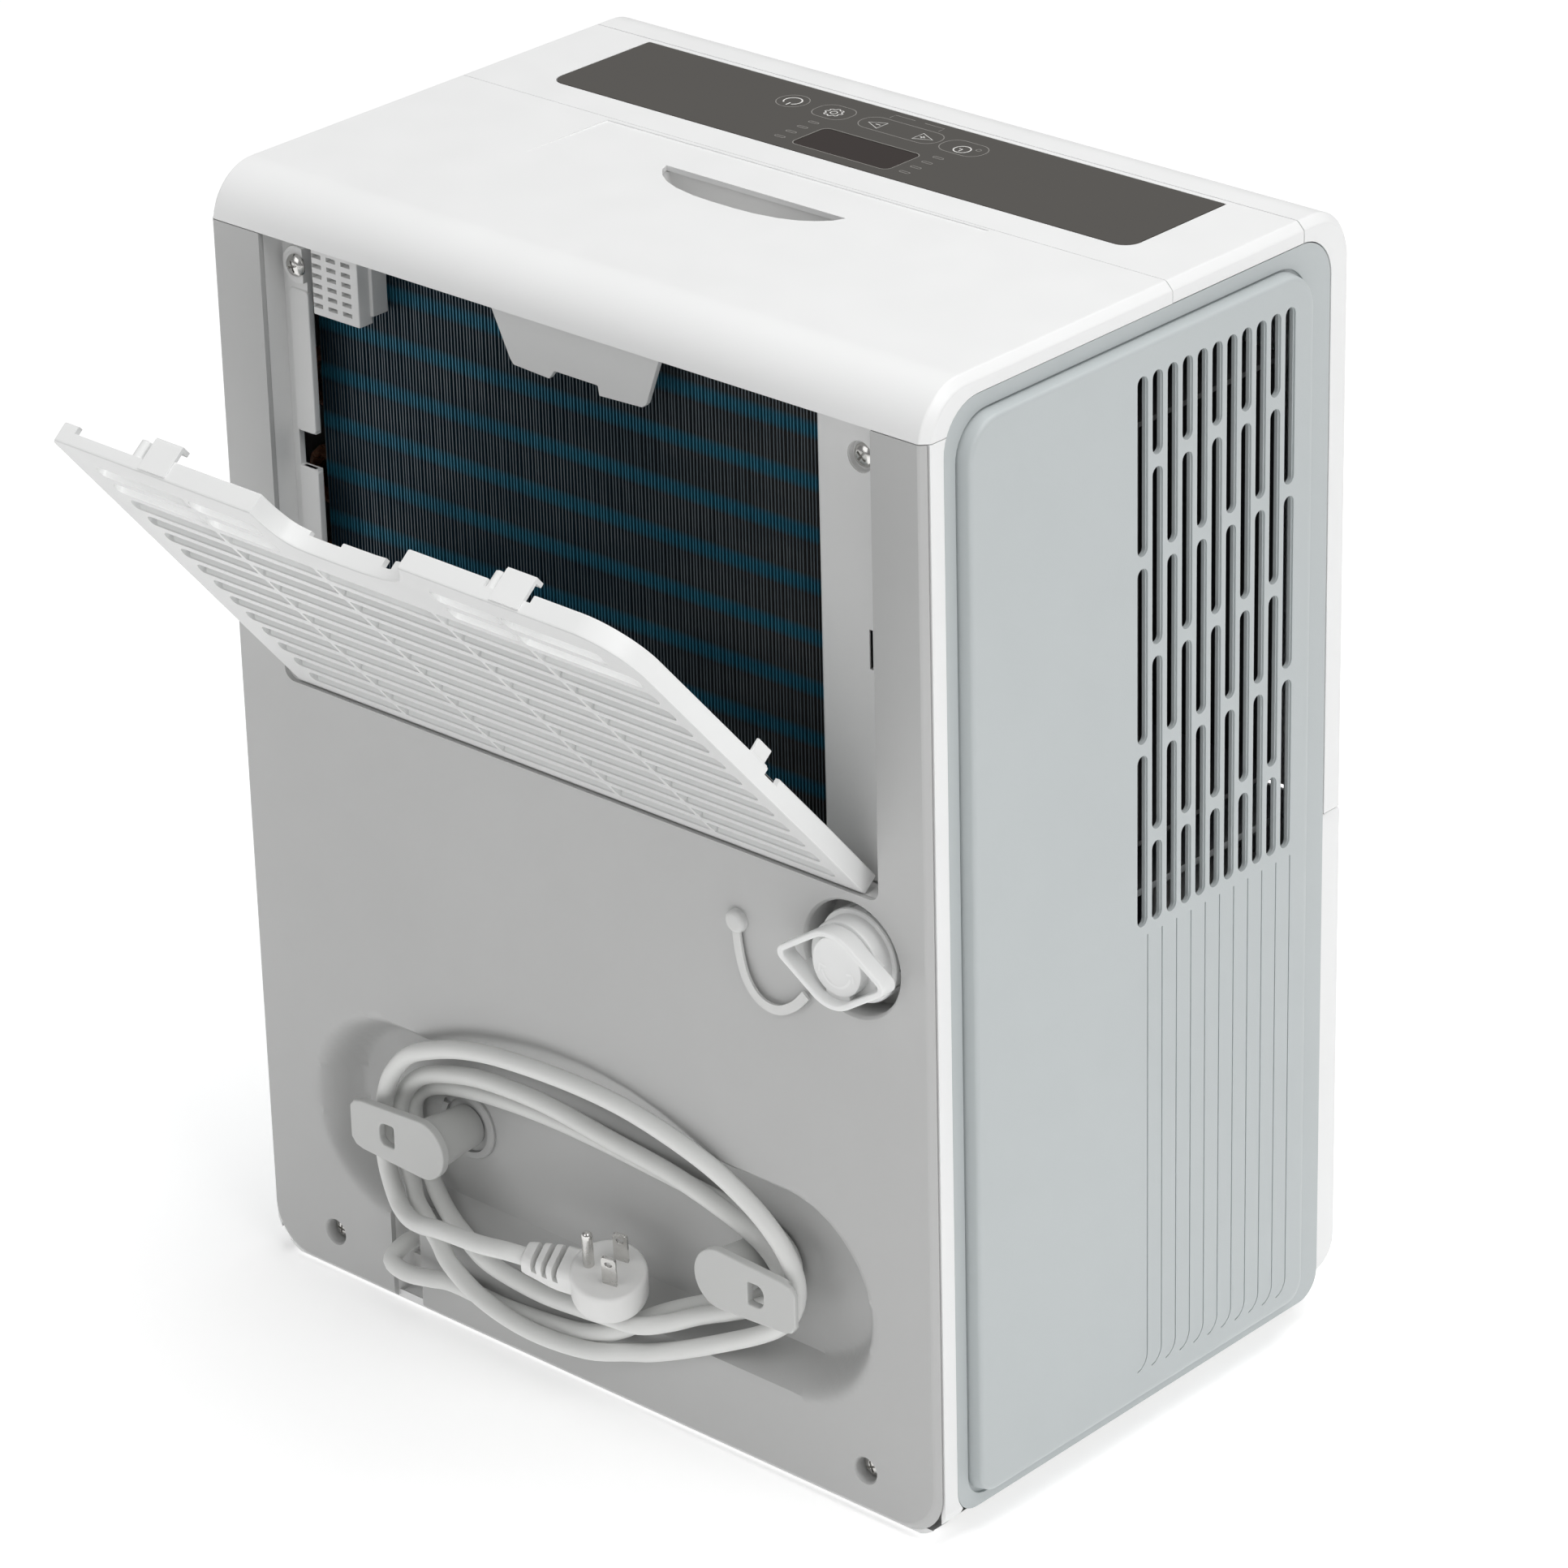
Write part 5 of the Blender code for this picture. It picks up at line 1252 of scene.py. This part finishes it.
def make_drain(mat):
    spans = [(115.5, 18), (116, 19.4), (124, 19.6), (124.6, 19.2), (124.8, 17.6), (131.2, 17.5)]
    spans += [(132.2, 17.0), (132.6, 16.2)]
    cap = turned("drain_cap_skin", "Y", DRAIN_X, DRAIN_Z, spans, mat["grille"], 72)
    notches = bmesh.new()
    for i in range(14):
        turn = Matrix.Rotation(2 * math.pi * i / 14, 4, "Y")
        start = len(notches.verts)
        add_box(notches, (18.6, 117.5, -1.2), (22, 122.8, 1.2))
        notches.verts.ensure_lookup_table()
        where = Matrix.Translation((DRAIN_X, 0, DRAIN_Z)) @ turn
        bmesh.ops.transform(notches, matrix=where, verts=notches.verts[start:])
    cut(cap, finish_mesh("cap_notches", notches))
    cut(cap, turned("cap_bore", "Y", DRAIN_X, DRAIN_Z, [(100, 9.6), (122, 9.6)]))

    outer, inner = lozenge(16.6, 3.6, 23.6), lozenge(14.0, 1.6, 22.6)
    rim = slab("cap_loop", "Y", outer, 133.4, 141.2, mat["grille"])
    cut(rim, slab("cap_loop_cut", "Y", inner, 120, 150))
    edge_break(rim, 0.8, 3, 40)
    foot_line = lozenge(15.6, 2.6, 20.0)
    foot = slab("cap_foot", "Y", foot_line, 130.5, 134.0, mat["grille"])
    cut(foot, slab("cap_foot_cut", "Y", inner, 120, 150))
    disc = [(131, 12.6), (136.2, 12.6), (136.9, 12.3), (137.2, 11.6)]
    stub = turned("cap_disc", "Y", DRAIN_X, DRAIN_Z, disc, mat["grille"], 64)
    across = ((DRAIN_X - 6, 131, DRAIN_Z - 14.5), (DRAIN_X + 6, 136.4, DRAIN_Z + 14.5))
    web = boxes("cap_web", [across], mat["grille"])
    curve = [(x, -y) for x, y in ring(0, 1.0, 7.4, 15, 165, 24)]
    # the arrow takes the same lighter painted-light white as the vanes
    arrow = icon_ribbon("cap_arrow", curve, 1.0, 0.0, mat["painted_light_white"])
    for sign in (-1, 1):
        barb = [(sign * 5.2, -1.4), (sign * 8.4, -0.8), (sign * 8.8, -4.2)]
        tip = icon_ribbon(f"cap_tip_{sign}", barb, 1.0, 0.0, mat["painted_light_white"])
        arrow = merge("cap_arrow", [arrow, tip])
    for vertex in arrow.data.vertices:
        x, z, _ = vertex.co
        vertex.co = (DRAIN_X * 0.001 + x, 0.13728, DRAIN_Z * 0.001 + z)
    for piece in (cap, rim, foot, stub):
        shade(piece, 35)
    whole = merge("drain_cap_whole", [cap, rim, foot, stub, web, arrow])
    place(whole, "cap", "shell_white", "drain_cap")

    spout = refined("drain_spout", mat["frame"], 0.3)
    place(spout, "body", "inner_plastic", "drain_spout")
    path = [(-127, 130.4, 229), (-121, 130.6, 222.5), (-112, 130.2, 217.5), (-103, 130.2, 218.5)]
    path += [(-96.5, 130.2, 224.5), (-92.8, 130.0, 233), (-90.8, 129.6, 242), (-90, 129.2, 249)]
    path = smooth_run(path, 5)
    edges = []
    for i, point in enumerate(path):
        along = heading(path, i)
        across = Vector((-along.z, 0, along.x)) * 2.0
        lift = Vector((0, 0.6, 0))
        low, high = point - lift, point + lift
        edges.append([low - across, low + across, high + across, high - across])
    bm = bmesh.new()
    add_rings(bm, edges)
    strap = finish_mesh("tether_strap", bm, mat["clear"])
    shade(strap, 50)
    spans = [(128.0, 5.0), (129.8, 5.0), (130.8, 4.3), (131.3, 2.6)]
    button = turned("tether_button", "Y", -90, 249, spans, mat["clear"], 32)
    shade(button, 50)
    tether = merge("tether_skin", [strap, button])
    place(tether, "body", "clear_strap", "cap_tether")


def make_hook(mat, name, side, node, body):
    x = side * HOOK_X
    spans = [(101, 8.5), (104, 8.5), (104.01, 6), (110.4, 6), (110.6, 9.4), (118, 9.7), (136, 11.6)]
    hook = turned(name, "Y", x, HOOK_Z, spans, mat["hook"], 56)
    outline = []
    for i in range(25):
        angle = math.radians(90 + 180 * i / 24)
        outline.append((x + side * 13.5 * math.cos(angle), HOOK_Z + 13.5 * math.sin(angle)))
    tip = [(34, -11.6), (38.6, -10.4), (41, -7.4), (41, 7.4), (38.6, 10.4), (34, 11.6)]
    outline += [(x + side * u, HOOK_Z + v) for u, v in tip]
    join(hook, slab(name + "_flange", "Y", outline, 135.5, 139.5))
    near, far = x + side * 15.5, x + side * 24.0
    radii = (0.8, 3.6, 3.6, 0.8) if side > 0 else (3.6, 0.8, 0.8, 3.6)
    window = rounded((min(near, far), max(near, far)), (HOOK_Z - 5, HOOK_Z + 5), radii, 5)
    cut(hook, slab(name + "_window", "Y", window, 130, 150))
    tip_near, tip_far = x + side * 36, x + side * 43
    relief = ((min(tip_near, tip_far), 130, HOOK_Z - 13), (max(tip_near, tip_far), 137.0, HOOK_Z + 13))
    cut(hook, boxes(name + "_relief", [relief]))  # lets the turned tip pass over the coiled cord
    edge_break(hook, 0.7, 3, 50)
    settle(hook, body, "shell_white", node, angle=40)
    # the collar takes the painted-shade grey of the rear face
    ring_spans = [(109.4, 15.5), (111.2, 15.5), (111.8, 14.9)]
    collar = turned(name + "_collar", "Y", x, HOOK_Z, ring_spans, mat["rear"], 48)
    cut(collar, turned(name + "_collar_cut", "Y", x, HOOK_Z, [(100, 12.2), (120, 12.2)]))
    key = ((x + side * 11 - 2, 100, HOOK_Z + 7), (x + side * 11 + 2, 120, HOOK_Z + 18))
    cut(collar, boxes(name + "_key", [key]))
    settle(collar, "body", "shell_white")


def make_screws(mat):
    foot_screws = [(side * FOOT_SCREW_X, FOOT_SCREW_Z, 121.8) for side in (1, -1)]
    for index, (x, z, seat) in enumerate((*FRAME_SCREWS, *foot_screws)):
        spans = [(seat - 9, 1.9), (seat, 1.9), (seat + 0.01, 4.9), (seat + 0.7, 4.9), (seat + 1.7, 4.2)]
        spans += [(seat + 2.4, 2.8), (seat + 2.65, 1.4)]
        screw = turned(f"screw_{index + 1}", "Y", x, z, spans, mat["chrome"], 36)
        angle = math.radians(20 + 31 * index)
        for turn in (angle, angle + math.pi / 2):
            bm = bmesh.new()
            add_box(bm, (-2.5, 0, -0.5), (2.5, 6, 0.5))
            where = Matrix.Translation((x, seat + 1.0, z)) @ Matrix.Rotation(turn, 4, "Y")
            bmesh.ops.transform(bm, matrix=where, verts=bm.verts)
            cut(screw, finish_mesh("screw_cut", bm))
        settle(screw, "body", "plated_steel", f"cover_screw_{index + 1}", angle=40)


# ---- the carried-over CAD nodes ----
def carry_over(mat):
    finishes = {
        "zinc": ["chassis", "fan_motor"],
        "tank": ["tank_bucket"],
        "grey": ["tank_lid", "drip_tray", "drain_channel"],
        "foam": ["tank_float"],
        "black": ["tank_switch", "fan_scroll", "fan_wheel", "display_module"],
        "copper": ["evaporator_tubes", "condenser_tubes", *COPPER_PIPES],
        "bare": ["condenser_fins"],
        "can": ["compressor", "accumulator"],
        "chrome": ["fan_shaft"],
        "board": ["control_board"],
        "rubber": [f"compressor_grommet_{index}" for index in (1, 2, 3)],
    }
    finishes["rubber"] += [f"foot_{index}" for index in (1, 2, 3, 4)]
    for finish, names in finishes.items():
        for node in names:
            paint(nodes[node], mat[finish])


# ---- floor and light ----
def make_stage(mat):
    floor = boxes("floor", [((-9000, -14000, -20), (9000, 9000, 0))], mat["floor"])

    def softbox(name, where, aim, size, power):
        light = bpy.data.lights.new(name, "AREA")
        light.shape = "SQUARE"
        light.size = size
        light.energy = power
        lamp = add_object(name, light)
        lamp.location = where
        lamp.rotation_euler = (Vector(aim) - Vector(where)).to_track_quat("-Z", "Y").to_euler()

    softbox("overhead", (-0.4, -0.5, 3.4), (0, 0, 0.3), 2.6, 70)
    softbox("side", (-2.3, 0.5, 2.6), (0, 0, 0.4), 1.7, 31)
    softbox("rear_fill", (0.5, 3.4, 2.5), (0, 0, 0.3), 2.6, 26)
    world = bpy.data.worlds.new("studio")
    bpy.context.scene.world = world
    world.use_nodes = True
    world.node_tree.nodes["Background"].inputs["Color"].default_value = (1.0, 1.0, 1.0, 1.0)
    world.node_tree.nodes["Background"].inputs["Strength"].default_value = 0.22
    bpy.context.scene.view_settings.view_transform = "Standard"


def main():
    make_camera()
    mat = make_materials()
    make_cord(mat)
    make_rear_cover(mat)
    make_base(mat)
    make_notch_liner(mat)
    make_top(mat)
    make_controls(mat)
    make_front(mat)
    make_side_panel(mat, "louvred_skin", -1, "side_panel_louvred", True)
    make_side_panel(mat, "plain_skin", 1, "side_panel_plain", False)
    make_coil(mat)
    make_window_frame(mat)
    make_grille(mat)
    make_drain(mat)
    make_hook(mat, "hook_left_skin", 1, "cord_hook_left", "hook_left")
    make_hook(mat, "hook_right_skin", -1, "cord_hook_right", "hook_right")
    make_screws(mat)
    carry_over(mat)
    make_stage(mat)


main()
